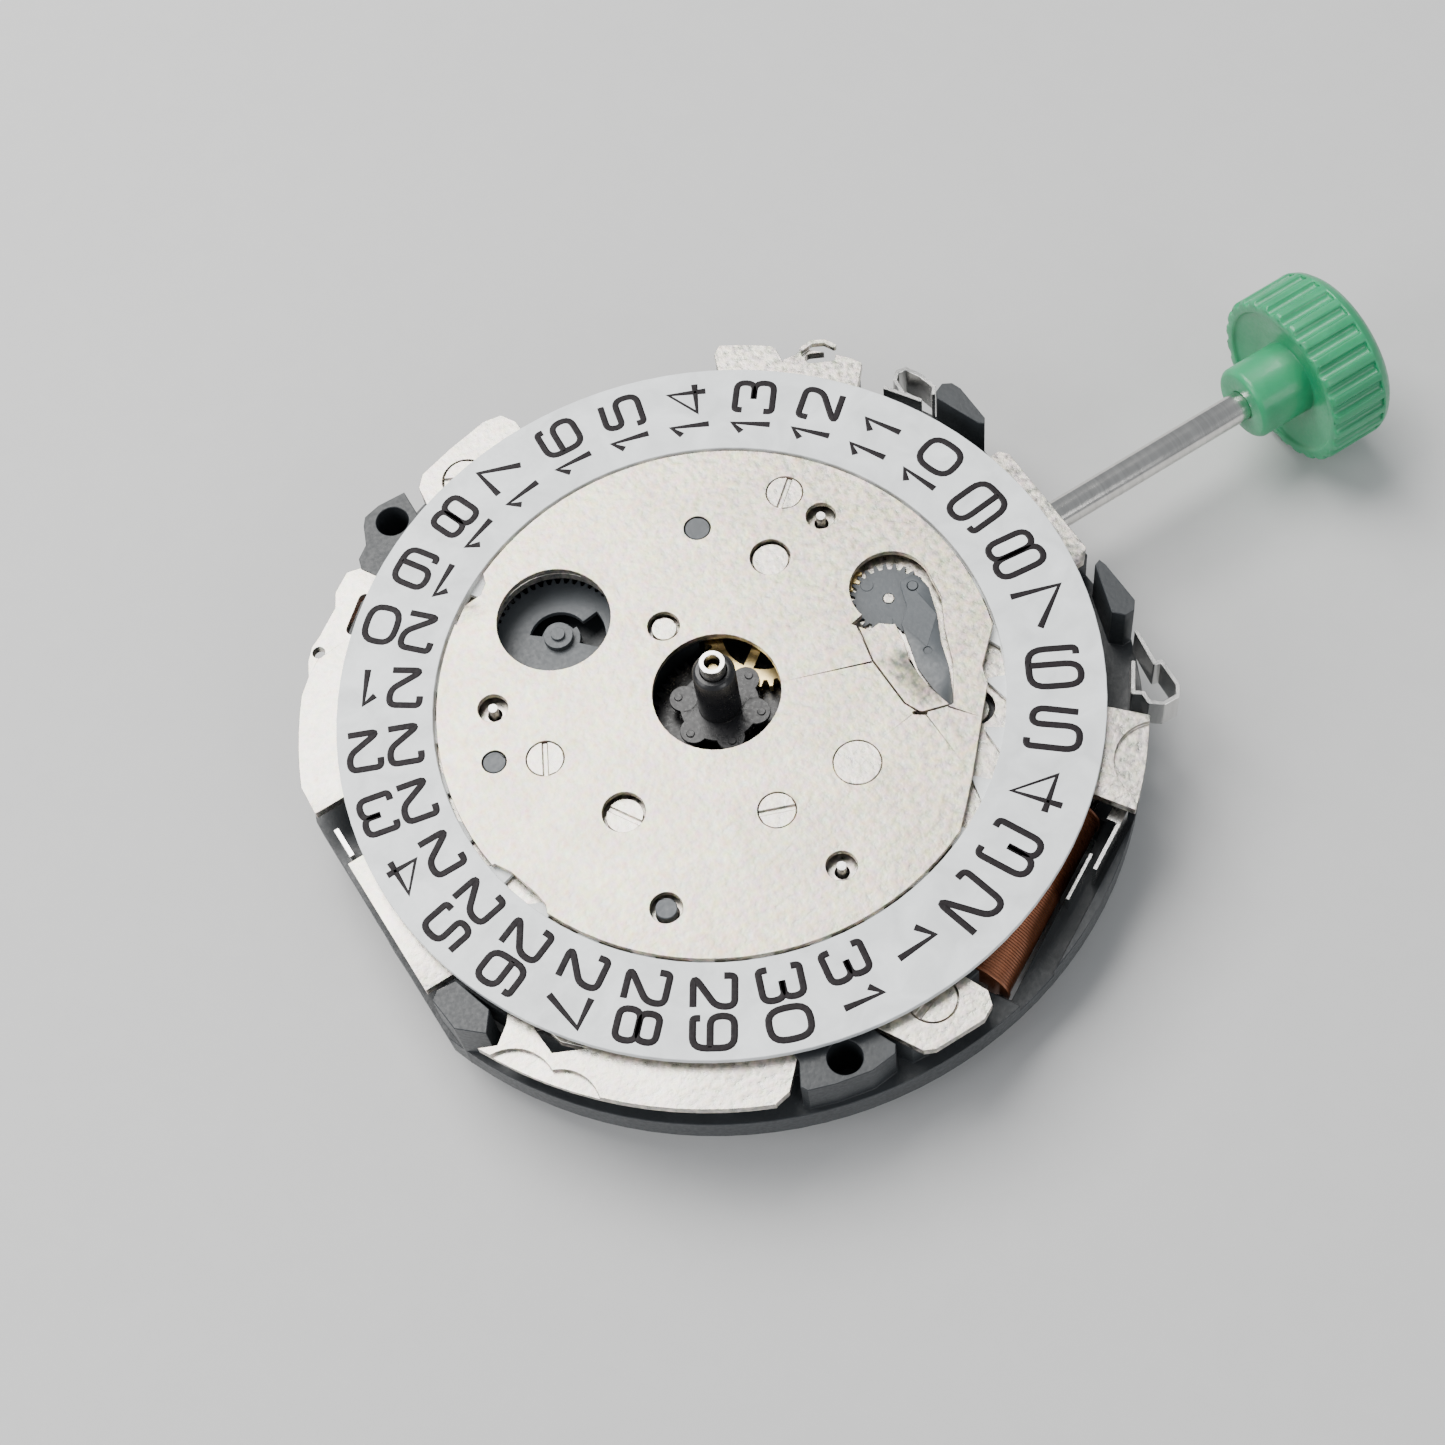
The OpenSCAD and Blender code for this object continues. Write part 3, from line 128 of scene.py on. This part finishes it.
# %% Blasted grain: bright and dull specks with a faint tint
def make_blasted_grain():
    g, gin, gout = new_group("blasted_grain",
        [("Colour", "c", (0.8, 0.8, 0.8, 1)), ("Grain", "f", 14000.0), ("Tint", "f", 0.12),
         ("Roughness", "f", 0.35), ("Depth", "f", 0.3)],
        [("Colour", "c"), ("Roughness", "f"), ("Normal", "v")])
    where = add(g, "TexCoord").outputs["Object"]
    fine = add(g, "TexNoise", {"Vector": where, "Scale": gin.outputs["Grain"], "Detail": 3.0})
    wide = add(g, "TexNoise", {"Vector": where, "Scale": 420.0, "Detail": 4.0, "Distortion": 1.2})
    tinted = add(g, "Mix", {0: gin.outputs["Tint"], 6: gin.outputs["Colour"], 7: fine.outputs["Color"]},
                 data_type="RGBA", blend_type="SOFT_LIGHT")
    speck = add(g, "MapRange", {"Value": fine.outputs["Fac"], "From Min": 0.38, "From Max": 0.62,
                                "To Min": 0.74, "To Max": 1.16})
    cloud = add(g, "MapRange", {"Value": wide.outputs["Fac"], "From Min": 0.3, "From Max": 0.7,
                                "To Min": 0.88, "To Max": 1.06})
    both = add(g, "Math", {0: speck.outputs[0], 1: cloud.outputs[0]}, operation="MULTIPLY")
    lit = add(g, "VectorMath", {0: tinted.outputs[2], "Scale": both.outputs[0]}, operation="SCALE")
    rough = add(g, "MapRange", {"Value": fine.outputs["Fac"], "From Min": 0.3, "From Max": 0.7,
                                "To Min": -0.10, "To Max": 0.12})
    total = add(g, "Math", {0: gin.outputs["Roughness"], 1: rough.outputs[0]}, operation="ADD")
    bump = add(g, "Bump", {"Height": fine.outputs["Fac"], "Strength": gin.outputs["Depth"],
                           "Distance": 0.00002})
    g.links.new(lit.outputs[0], gout.inputs["Colour"])
    g.links.new(total.outputs[0], gout.inputs["Roughness"])
    g.links.new(bump.outputs[0], gout.inputs["Normal"])
    return g


blasted_grain = make_blasted_grain()


# %% Moulded skin: soft mottling, fine pits and a little dust
def make_moulded_skin():
    g, gin, gout = new_group("moulded_skin",
        [("Colour", "c", (0.1, 0.1, 0.1, 1)), ("Dust colour", "c", (0.5, 0.5, 0.5, 1)),
         ("Dust", "f", 0.1), ("Roughness", "f", 0.45), ("Pits", "f", 0.15), ("Mottle", "f", 0.12)],
        [("Colour", "c"), ("Roughness", "f"), ("Normal", "v")])
    where = add(g, "TexCoord").outputs["Object"]
    pits = add(g, "TexNoise", {"Vector": where, "Scale": 9000.0, "Detail": 2.0})
    flow = add(g, "TexNoise", {"Vector": where, "Scale": 900.0, "Detail": 3.0, "Distortion": 0.8})
    specks = add(g, "TexVoronoi", {"Vector": where, "Scale": 2600.0}, feature="F1")
    dot = add(g, "MapRange", {"Value": specks.outputs["Distance"], "From Min": 0.0, "From Max": 0.12,
                              "To Min": 1.0, "To Max": 0.0})
    patch = add(g, "MapRange", {"Value": flow.outputs["Fac"], "From Min": 0.45, "From Max": 0.7})
    dusty = add(g, "Math", {0: dot.outputs[0], 1: patch.outputs[0]}, operation="MULTIPLY")
    amount = add(g, "Math", {0: dusty.outputs[0], 1: gin.outputs["Dust"]}, operation="MULTIPLY")
    pale = add(g, "Math", {0: 1.0, 1: gin.outputs["Mottle"]}, operation="ADD")
    dark = add(g, "Math", {0: 1.0, 1: gin.outputs["Mottle"]}, operation="SUBTRACT")
    mottled = add(g, "MapRange", {"Value": flow.outputs["Fac"], "From Min": 0.3, "From Max": 0.7,
                                  "To Min": dark.outputs[0], "To Max": pale.outputs[0]})
    base = add(g, "VectorMath", {0: gin.outputs["Colour"], "Scale": mottled.outputs[0]},
               operation="SCALE")
    mix = add(g, "Mix", {0: amount.outputs[0], 6: base.outputs[0], 7: gin.outputs["Dust colour"]},
              data_type="RGBA")
    rough = add(g, "MapRange", {"Value": pits.outputs["Fac"], "From Min": 0.3, "From Max": 0.7,
                                "To Min": -0.06, "To Max": 0.08})
    total = add(g, "Math", {0: gin.outputs["Roughness"], 1: rough.outputs[0]}, operation="ADD")
    bump = add(g, "Bump", {"Height": pits.outputs["Fac"], "Strength": gin.outputs["Pits"],
                           "Distance": 0.00002})
    g.links.new(mix.outputs[2], gout.inputs["Colour"])
    g.links.new(total.outputs[0], gout.inputs["Roughness"])
    g.links.new(bump.outputs[0], gout.inputs["Normal"])
    return g


moulded_skin = make_moulded_skin()


# %% Fine lines: drawn or turned marks across one direction
def make_drawn_lines():
    g, gin, gout = new_group("drawn_lines",
        [("Colour", "c", (0.7, 0.7, 0.7, 1)), ("Stretch", "v", (1, 1, 1)), ("Lines", "f", 9000.0),
         ("Roughness", "f", 0.2), ("Depth", "f", 0.1)],
        [("Colour", "c"), ("Roughness", "f"), ("Normal", "v")])
    where = add(g, "TexCoord").outputs["Object"]
    pulled = add(g, "VectorMath", {0: where, 1: gin.outputs["Stretch"]}, operation="MULTIPLY")
    line = add(g, "TexNoise", {"Vector": pulled.outputs[0], "Scale": gin.outputs["Lines"],
                               "Detail": 2.0})
    stain = add(g, "TexNoise", {"Vector": where, "Scale": 700.0, "Detail": 3.0})
    tone = add(g, "MapRange", {"Value": line.outputs["Fac"], "From Min": 0.3, "From Max": 0.7,
                               "To Min": 0.90, "To Max": 1.08})
    toned = add(g, "VectorMath", {0: gin.outputs["Colour"], "Scale": tone.outputs[0]}, operation="SCALE")
    dull = add(g, "MapRange", {"Value": stain.outputs["Fac"], "From Min": 0.4, "From Max": 0.75,
                               "To Min": 0.0, "To Max": 0.12})
    total = add(g, "Math", {0: gin.outputs["Roughness"], 1: dull.outputs[0]}, operation="ADD")
    bump = add(g, "Bump", {"Height": line.outputs["Fac"], "Strength": gin.outputs["Depth"],
                           "Distance": 0.00001})
    g.links.new(toned.outputs[0], gout.inputs["Colour"])
    g.links.new(total.outputs[0], gout.inputs["Roughness"])
    g.links.new(bump.outputs[0], gout.inputs["Normal"])
    return g


drawn_lines = make_drawn_lines()
print("effects:", blasted_grain.name, moulded_skin.name, drawn_lines.name)


# %% [markdown]
# ## Finishes
# A finish is one material: a shared effect feeds colour, roughness and normal into a Principled
# shader, and what is the same all over, such as how metallic it is, sits on the shader itself.

# %% A finish from an effect
def finish(name, effect, values, **shader):
    mat = bpy.data.materials.new(name)
    mat.use_nodes = True
    tree = mat.node_tree
    skin = tree.nodes["Principled BSDF"]
    group = tree.nodes.new("ShaderNodeGroup")
    group.node_tree = effect
    for key, value in values.items():
        group.inputs[key].default_value = value
    tree.links.new(group.outputs["Colour"], skin.inputs["Base Color"])
    tree.links.new(group.outputs["Roughness"], skin.inputs["Roughness"])
    tree.links.new(group.outputs["Normal"], skin.inputs["Normal"])
    for key, value in shader.items():
        skin.inputs[key.replace("_", " ")].default_value = value
    return mat


def rgb(r, g, b):
    return (r, g, b, 1.0)


metal = {"Metallic": 1.0}
date_plate_nickel = finish("date_plate_nickel", blasted_grain,
    {"Colour": rgb(0.66, 0.605, 0.50), "Grain": 4200.0,
     "Tint": 0.85, "Roughness": 0.40, "Depth": 0.7}, **metal)
plate_nickel = finish("plate_nickel", blasted_grain,
    {"Colour": rgb(0.68, 0.64, 0.575), "Grain": 5500.0,
     "Tint": 0.5, "Roughness": 0.34, "Depth": 0.55}, **metal)
bridge_nickel = finish("bridge_nickel", blasted_grain,
    {"Colour": rgb(0.74, 0.73, 0.70), "Grain": 8000.0,
     "Tint": 0.08, "Roughness": 0.34, "Depth": 0.3}, **metal)
iron_finish = finish("annealed_iron", blasted_grain,
    {"Colour": rgb(0.45, 0.44, 0.42), "Grain": 7000.0,
     "Tint": 0.05, "Roughness": 0.48, "Depth": 0.4}, **metal)
magnet_finish = finish("sintered_magnet", blasted_grain,
    {"Colour": rgb(0.24, 0.24, 0.25), "Grain": 6000.0,
     "Tint": 0.03, "Roughness": 0.55, "Depth": 0.6}, **metal)
steel_lines = {"Colour": rgb(0.72, 0.71, 0.69), "Stretch": (1, 1, 0.08), "Lines": 9000.0,
               "Roughness": 0.20, "Depth": 0.12}
polished_steel = finish("polished_steel", drawn_lines, steel_lines, **metal)
stem_steel = finish("stem_steel", drawn_lines,
    {"Colour": rgb(0.70, 0.68, 0.65), "Stretch": (1, 0.05, 0.05), "Lines": 9000.0, "Roughness": 0.13,
     "Depth": 0.10}, **metal)
cell_steel = finish("cell_steel", drawn_lines,
    {"Colour": rgb(0.66, 0.65, 0.63), "Stretch": (0.05, 1, 1), "Lines": 7000.0, "Roughness": 0.26,
     "Depth": 0.15}, **metal)
brass_finish = finish("turned_brass", drawn_lines,
    {"Colour": rgb(0.78, 0.60, 0.28), "Stretch": (1, 1, 0.1), "Lines": 8000.0, "Roughness": 0.24,
     "Depth": 0.12}, **metal)
gilt_finish = finish("gilt_strip", drawn_lines,
    {"Colour": rgb(0.80, 0.66, 0.36), "Stretch": (0.1, 1, 1), "Lines": 6000.0, "Roughness": 0.28,
     "Depth": 0.12}, **metal)
copper_wire = finish("varnished_wire", drawn_lines,
    {"Colour": rgb(0.36, 0.13, 0.06), "Stretch": (1, 1, 1), "Lines": 5000.0, "Roughness": 0.32,
     "Depth": 0.15}, Metallic=0.75, Coat_Weight=0.5, Coat_Roughness=0.2)
casing_black = finish("casing_black", moulded_skin,
    {"Colour": rgb(0.030, 0.034, 0.038), "Dust colour": rgb(0.25, 0.27, 0.3), "Dust": 0.25,
     "Roughness": 0.42, "Pits": 0.25})
wheel_grey = finish("wheel_grey", moulded_skin,
    {"Colour": rgb(0.085, 0.095, 0.105), "Dust colour": rgb(0.3, 0.32, 0.34), "Dust": 0.2,
     "Roughness": 0.40, "Pits": 0.2})
hub_black = finish("hub_black", moulded_skin,
    {"Colour": rgb(0.012, 0.012, 0.014), "Dust colour": rgb(0.2, 0.2, 0.22), "Dust": 0.2,
     "Roughness": 0.30, "Pits": 0.15})
chip_black = finish("chip_black", moulded_skin,
    {"Colour": rgb(0.02, 0.02, 0.022), "Dust colour": rgb(0.2, 0.2, 0.2), "Dust": 0.1,
     "Roughness": 0.6, "Pits": 0.4})
board_green = finish("board_green", moulded_skin,
    {"Colour": rgb(0.03, 0.16, 0.09), "Dust colour": rgb(0.1, 0.3, 0.2), "Dust": 0.15,
     "Roughness": 0.35, "Pits": 0.2}, Coat_Weight=0.3)
ring_white = finish("ring_white", moulded_skin,
    {"Colour": rgb(0.86, 0.89, 0.905), "Dust colour": rgb(0.7, 0.73, 0.76), "Dust": 0.08,
     "Roughness": 0.36, "Pits": 0.06})
numeral_ink = finish("numeral_ink", moulded_skin,
    {"Colour": rgb(0.012, 0.009, 0.011), "Dust colour": rgb(0.2, 0.2, 0.2), "Dust": 0.06,
     "Roughness": 0.55, "Pits": 0.3}, Specular_IOR_Level=0.2)
knob_green = finish("knob_green", moulded_skin,
    {"Colour": rgb(0.024, 0.31, 0.135), "Dust colour": rgb(0.25, 0.55, 0.35), "Dust": 0.12,
     "Roughness": 0.36, "Pits": 0.12}, Subsurface_Weight=0.25, Coat_Weight=0.15)
knob_green.node_tree.nodes["Principled BSDF"].inputs["Subsurface Radius"].default_value = (0.2, 1.0, 0.4)
knob_green.node_tree.nodes["Principled BSDF"].inputs["Subsurface Scale"].default_value = 0.0004
print(len(bpy.data.materials), "finishes")

# %% [markdown]
# ## Which piece has which finish
# Every CAD node gets a finish, seen or not, because the back and the inside are looked at too.

# %% Dress the CAD nodes
FINISHES = {
    casing_black: ["module_body"],
    date_plate_nickel: ["date_plate"],
    plate_nickel: ["main_plate", "plate_posts", "date_plate_screws", "main_plate_screws"],
    bridge_nickel: ["train_bridge", "rear_cover", "minute_wheel", "small_seconds_wheel", "day_wheel",
                    "counter_wheel"],
    polished_steel: ["setting_wheel", "yoke", "setting_pinion", "setting_lever", "coil_screws",
                     "bridge_rivets", "rear_cover_screws", "start_lever", "reset_lever", "side_contact",
                     "cannon_pinion", "quartz_can"],
    stem_steel: ["setting_stem"],
    wheel_grey: ["locating_pegs", "date_jumper", "date_wheel", "date_finger", "counter_idler"],
    hub_black: ["hour_wheel"],
    ring_white: ["date_ring"],
    brass_finish: ["date_idler", "day_idler", "centre_wheel", "third_wheel", "time_idler",
                   "chrono_seconds_wheel", "chrono_idler"],
    magnet_finish: ["time_rotor", "chrono_rotor", "counter_rotor"],
    iron_finish: ["time_stator", "chrono_stator", "counter_stator", "time_core", "chrono_core",
                  "counter_core"],
    copper_wire: ["time_winding", "chrono_winding", "counter_winding"],
    board_green: ["circuit_board"],
    chip_black: ["controller_chip"],
    cell_steel: ["button_cell"],
    gilt_finish: ["cell_strap", "cell_spring"],
    knob_green: ["setting_knob"],
}
finish_of = {n: mat for mat, members in FINISHES.items() for n in members}
for name, node in nodes.items():
    dress(node, finish_of[name])
print("dressed", len(finish_of), "nodes")


# %% [markdown]
# ## Soft edges
# Real pressed, moulded and turned edges are never knife-sharp: a thin bright line along each edge is
# what makes a part look solid. A CAD mesh is loose triangles, so a copy is merged, and a Bevel
# modifier cuts a thin chamfer. The soft plastic knob gets a rounder edge. Rounding in CAD would also
# work, but it would cost thousands of exact faces for something that only the eye needs.

# %% A copy of a node with its edges rounded
MERGE_DISTANCE = 2e-7
SMOOTH_CHAMFERED = 30
SMOOTH_ROUNDED = 50


def soften(node, width, segments=1, sharp=38):
    source = nodes[node]
    obj = source.copy()
    obj.data = source.data.copy()
    for key in list(obj.keys()):
        del obj[key]
    obj.parent = None
    obj.name = node + "_soft"
    bpy.context.scene.collection.objects.link(obj)
    only(obj)
    bpy.ops.mesh.customdata_custom_splitnormals_clear()
    bpy.ops.object.mode_set(mode="EDIT")
    bpy.ops.mesh.select_all(action="SELECT")
    bpy.ops.mesh.remove_doubles(threshold=MERGE_DISTANCE)
    bpy.ops.object.mode_set(mode="OBJECT")
    apply_modifier(obj, "BEVEL", width=width * MM, segments=segments, limit_method="ANGLE",
                   angle_limit=math.radians(sharp), use_clamp_overlap=False)
    only(obj)
    smooth = SMOOTH_CHAMFERED if segments == 1 else SMOOTH_ROUNDED
    bpy.ops.object.shade_smooth_by_angle(angle=math.radians(smooth))
    if segments > 1:
        apply_modifier(obj, "WEIGHTED_NORMAL", keep_sharp=True, weight=100)
    dress(obj, finish_of[node])
    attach(obj, body_of_node[node])
    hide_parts(node)
    return obj


CHAMFERED = {"module_body": 0.02, "main_plate": 0.012, "date_plate": 0.012, "date_ring": 0.015,
             "date_plate_screws": 0.02, "main_plate_screws": 0.02, "plate_posts": 0.02,
             "locating_pegs": 0.02, "hour_wheel": 0.01, "cannon_pinion": 0.012, "date_finger": 0.012,
             "date_wheel": 0.006, "counter_idler": 0.008, "rear_cover": 0.012,
             "rear_cover_screws": 0.02, "button_cell": 0.04, "start_lever": 0.01, "reset_lever": 0.01}
for node, width in CHAMFERED.items():
    obj = soften(node, width)
    print(node, len(obj.data.polygons), "faces")
knob = soften("setting_knob", 0.05, segments=2)
print("knob", len(knob.data.polygons), "faces")

# %% [markdown]
# ## Printed numerals
# The ring is printed with 1 to 31. Each digit is a stroke with round bends. A text object would bring
# a font's shapes, so the strokes are drawn here as short paths: a curve with a round bevel is swept
# along each, turned into a mesh and pressed flat, like a thin film of ink.

# %% Digits as strokes in a unit box
DIGITS = {
    "0": [([(0, 0), (1, 0), (1, 1), (0, 1)], 0.42, True)],
    "1": [([(0.18, 0.74), (0.52, 1.0), (0.52, 0)], 0.0, False)],
    "2": [([(0.02, 0.74), (0.02, 1), (1, 1), (1, 0.56), (0, 0), (1, 0)], 0.3, False)],
    "3": [([(0.02, 0.80), (0.02, 1), (0.98, 1), (0.98, 0.52), (0.42, 0.52)], 0.26, False),
          ([(0.42, 0.52), (1, 0.52), (1, 0), (0, 0), (0, 0.22)], 0.28, False)],
    "4": [([(0.72, 0), (0.72, 1), (0, 0.28), (1, 0.28)], 0.0, False)],
    "5": [([(0.92, 1), (0.08, 1), (0.04, 0.58), (1, 0.62), (1, 0), (0, 0), (0, 0.2)], 0.28, False)],
    "6": [([(0.94, 0.82), (0.94, 1), (0, 1), (0, 0), (1, 0), (1, 0.58), (0.02, 0.58)], 0.34, False)],
    "7": [([(0, 1), (1, 1), (0.36, 0)], 0.0, False)],
    "8": [([(0, 0), (1, 0), (1, 0.52), (0, 0.52)], 0.26, True),
          ([(0.05, 0.52), (0.95, 0.52), (0.95, 1), (0.05, 1)], 0.24, True)],
    "9": [([(0.06, 0.18), (0.06, 0), (1, 0), (1, 1), (0, 1), (0, 0.42), (0.98, 0.42)], 0.34, False)],
}
BEND_STEPS = 5


def rounded(points, radius, closed):
    """The path with each corner that bends sharply replaced by an arc-like curve."""
    out = []
    count = len(points)
    for i, corner in enumerate(points):
        if not closed and i in (0, count - 1):
            out.append(Vector(corner))
            continue
        here, before, after = Vector(corner), Vector(points[i - 1]), Vector(points[(i + 1) % count])
        cut = min(radius, (before - here).length * 0.5, (after - here).length * 0.5)
        if cut < 0.02:
            out.append(here)
            continue
        a = here + (before - here).normalized() * cut
        b = here + (after - here).normalized() * cut
        for k in range(BEND_STEPS + 1):
            t = k / BEND_STEPS
            out.append(a * (1 - t) ** 2 + here * (2 * t * (1 - t)) + b * t ** 2)
    return out


# %% Place every numeral
RING_TOP = 4.30
INK_HEIGHT = 0.012
STROKE = 0.098
DAYS = 31
EIGHT_ANGLE = -6.4
# inner radius, width and height of each digit, for one digit and for two
ONE_DIGIT = [(8.62, 1.42, 1.16)]
TWO_DIGITS = [(8.36, 0.88, 1.10), (9.50, 0.88, 1.10)]
ONE_AND_DIGIT = [(8.40, 0.84, 1.10), (9.28, 0.98, 1.10)]


def numeral_curve(day):
    curve = bpy.data.curves.new("numeral", "CURVE")
    curve.dimensions = "3D"
    curve.bevel_depth = STROKE
    curve.bevel_resolution = 1
    curve.use_fill_caps = True
    text = str(day)
    layout = ONE_DIGIT if len(text) == 1 else (ONE_AND_DIGIT if text[0] == "1" else TWO_DIGITS)
    for digit, (inner, width, height) in zip(text, layout):
        for points, radius, closed in DIGITS[digit]:
            path = rounded(points, radius, closed)
            spline = curve.splines.new("POLY")
            spline.points.add(len(path) - 1)
            for point, p in zip(spline.points, path):
                point.co = (inner + p.x * width, (p.y - 0.5) * height, 0, 1)
            spline.use_cyclic_u = closed
    return curve


def print_numerals():
    made = []
    for day in range(1, DAYS + 1):
        obj = bpy.data.objects.new("numeral", numeral_curve(day))
        bpy.context.scene.collection.objects.link(obj)
        only(obj)
        bpy.ops.object.convert(target="MESH")
        obj = bpy.context.view_layer.objects.active
        obj.scale = (MM, MM, MM * INK_HEIGHT / STROKE)
        obj.rotation_euler = (0, 0, math.radians(EIGHT_ANGLE + (day - 8) * 360 / DAYS))
        obj.location = (0, 0, RING_TOP * MM)
        settle(obj)
        made.append(obj)
    bpy.ops.object.select_all(action="DESELECT")
    for obj in made:
        obj.select_set(True)
    bpy.context.view_layer.objects.active = made[0]
    bpy.ops.object.join()
    return bpy.context.view_layer.objects.active


numerals = print_numerals()
numerals.name = "date_numerals"
only(numerals)
bpy.ops.object.shade_flat()
dress(numerals, numeral_ink)
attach(numerals, "date_ring")
print("numerals:", len(numerals.data.polygons), "faces")

# %% [markdown]
# ## Wound coils
# A motor winding is hundreds of turns of hair-thin wire. One turn is a torus; an Array modifier lays
# the others beside it along the core, over a smooth bobbin with a flange at each end. A bump pattern
# would be lighter, but the edge of the coil would look like a plain rod.

# %% One coil from a turn of wire
WIRE = 0.04
COIL_RADIUS = 1.0
BOBBIN_SIDES = 40
END_HALF = 0.05
END_LIP = 0.04


def wind(name, centre, angle, radius, length, node):
    turns = int(length / (2 * WIRE))
    bpy.ops.object.select_all(action="DESELECT")
    bpy.ops.mesh.primitive_torus_add(major_radius=(radius - WIRE) * MM, minor_radius=WIRE * MM,
                                     major_segments=BOBBIN_SIDES, minor_segments=6)
    coil = bpy.context.active_object
    apply_modifier(coil, "ARRAY", count=turns, use_relative_offset=False, use_constant_offset=True,
                   constant_offset_displace=(0, 0, 2 * WIRE * MM))
    coil.location = (0, 0, (-length / 2 + WIRE) * MM)
    settle(coil)
    parts = [coil]
    for half, r, ends in ((length / 2 - END_HALF, radius - WIRE, (0,)),
                          (END_HALF, radius + END_LIP, (-length / 2, length / 2))):
        for z in ends:
            bpy.ops.object.select_all(action="DESELECT")
            bpy.ops.mesh.primitive_cylinder_add(vertices=BOBBIN_SIDES, radius=r * MM,
                                                depth=2 * half * MM, location=(0, 0, z * MM))
            part = bpy.context.active_object
            settle(part)
            apply_modifier(part, "BEVEL", width=0.02 * MM, segments=2)
            parts.append(part)
    bpy.ops.object.select_all(action="DESELECT")
    for part in parts:
        part.select_set(True)
    bpy.context.view_layer.objects.active = coil
    bpy.ops.object.join()
    coil.name = name
    turn = Matrix.Rotation(math.radians(angle), 4, "Z") @ Matrix.Rotation(math.radians(90), 4, "Y")
    coil.matrix_world = Matrix.Translation(Vector(centre) * MM) @ turn
    settle(coil)
    only(coil)
    bpy.ops.object.shade_smooth_by_angle(angle=math.radians(40))
    dress(coil, copper_wire)
    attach(coil, "case")
    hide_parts(node)
    return coil


def middle(node):
    low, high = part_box(node)
    return (low + high) / 2 / MM


for name, node, angle, length in (("time_coil_turns", "time_winding", 29, 5.6),
                                  ("chrono_coil_turns", "chrono_winding", 150, 4.8),
                                  ("counter_coil_turns", "counter_winding", 25, 4.8)):
    coil = wind(name, middle(node), angle, COIL_RADIUS, length, node)
    print(name, len(coil.data.polygons), "faces")

# %% [markdown]
# ## The bench, the light and the camera
# A pale sheet stands for the bench. One large soft light above and behind gives the plates their
# sheen, a second one fills from the left, and the world is a dim even grey.

# %% Floor
BENCH_SIZE = 0.6
BENCH_DROP = 0.00002
bpy.ops.object.select_all(action="DESELECT")
bpy.ops.mesh.primitive_plane_add(size=BENCH_SIZE, location=(0, 0, -BENCH_DROP))
floor = bpy.context.active_object
floor.name = "bench"
settle(floor)
dress(floor, finish("bench_sheet", moulded_skin,
    {"Colour": rgb(0.62, 0.62, 0.62), "Dust colour": rgb(0.5, 0.5, 0.5), "Dust": 0.0, "Roughness": 0.7,
     "Pits": 0.05, "Mottle": 0.01}))


# %% Lights
def softbox(name, place, aim, size, power, tint=(1, 1, 1)):
    light = bpy.data.lights.new(name, "AREA")
    light.shape = "SQUARE"
    light.size = size
    light.energy = power
    light.color = tint
    obj = bpy.data.objects.new(name, light)
    bpy.context.scene.collection.objects.link(obj)
    obj.location = place
    obj.rotation_euler = (Vector(aim) - Vector(place)).to_track_quat("-Z", "Y").to_euler()


softbox("overhead", (-0.02, 0.09, 0.16), (0, 0, 0), 0.13, 0.50, (1.0, 0.985, 0.96))
softbox("left_fill", (-0.16, 0.02, 0.10), (0, 0, 0), 0.10, 0.15)
softbox("front_fill", (0.03, -0.17, 0.10), (0, 0, 0), 0.08, 0.07)
world = bpy.data.worlds.new("studio")
bpy.context.scene.world = world
world.use_nodes = True
world.node_tree.nodes["Background"].inputs[0].default_value = (0.9, 0.95, 1.0, 1)
world.node_tree.nodes["Background"].inputs[1].default_value = 0.40

# %% Camera
EYE = Vector((-12.744, -30.935, 68.6)) * MM
RIGHT = Vector((0.84526, -0.52768, -0.08416)).normalized()
AHEAD = Vector((0.1716, 0.4173, -0.8924)).normalized()
camera_data = bpy.data.cameras.new("camera")
camera_data.lens = 65.04
camera_data.sensor_width = 36
camera_data.clip_start = 0.001
camera = bpy.data.objects.new("camera", camera_data)
bpy.context.scene.collection.objects.link(camera)
up = RIGHT.cross(AHEAD)
camera.matrix_world = Matrix.Translation(EYE) @ Matrix((RIGHT, up, -AHEAD)).transposed().to_4x4()
bpy.context.scene.camera = camera
print("camera at", [round(v / MM, 1) for v in EYE], "mm")
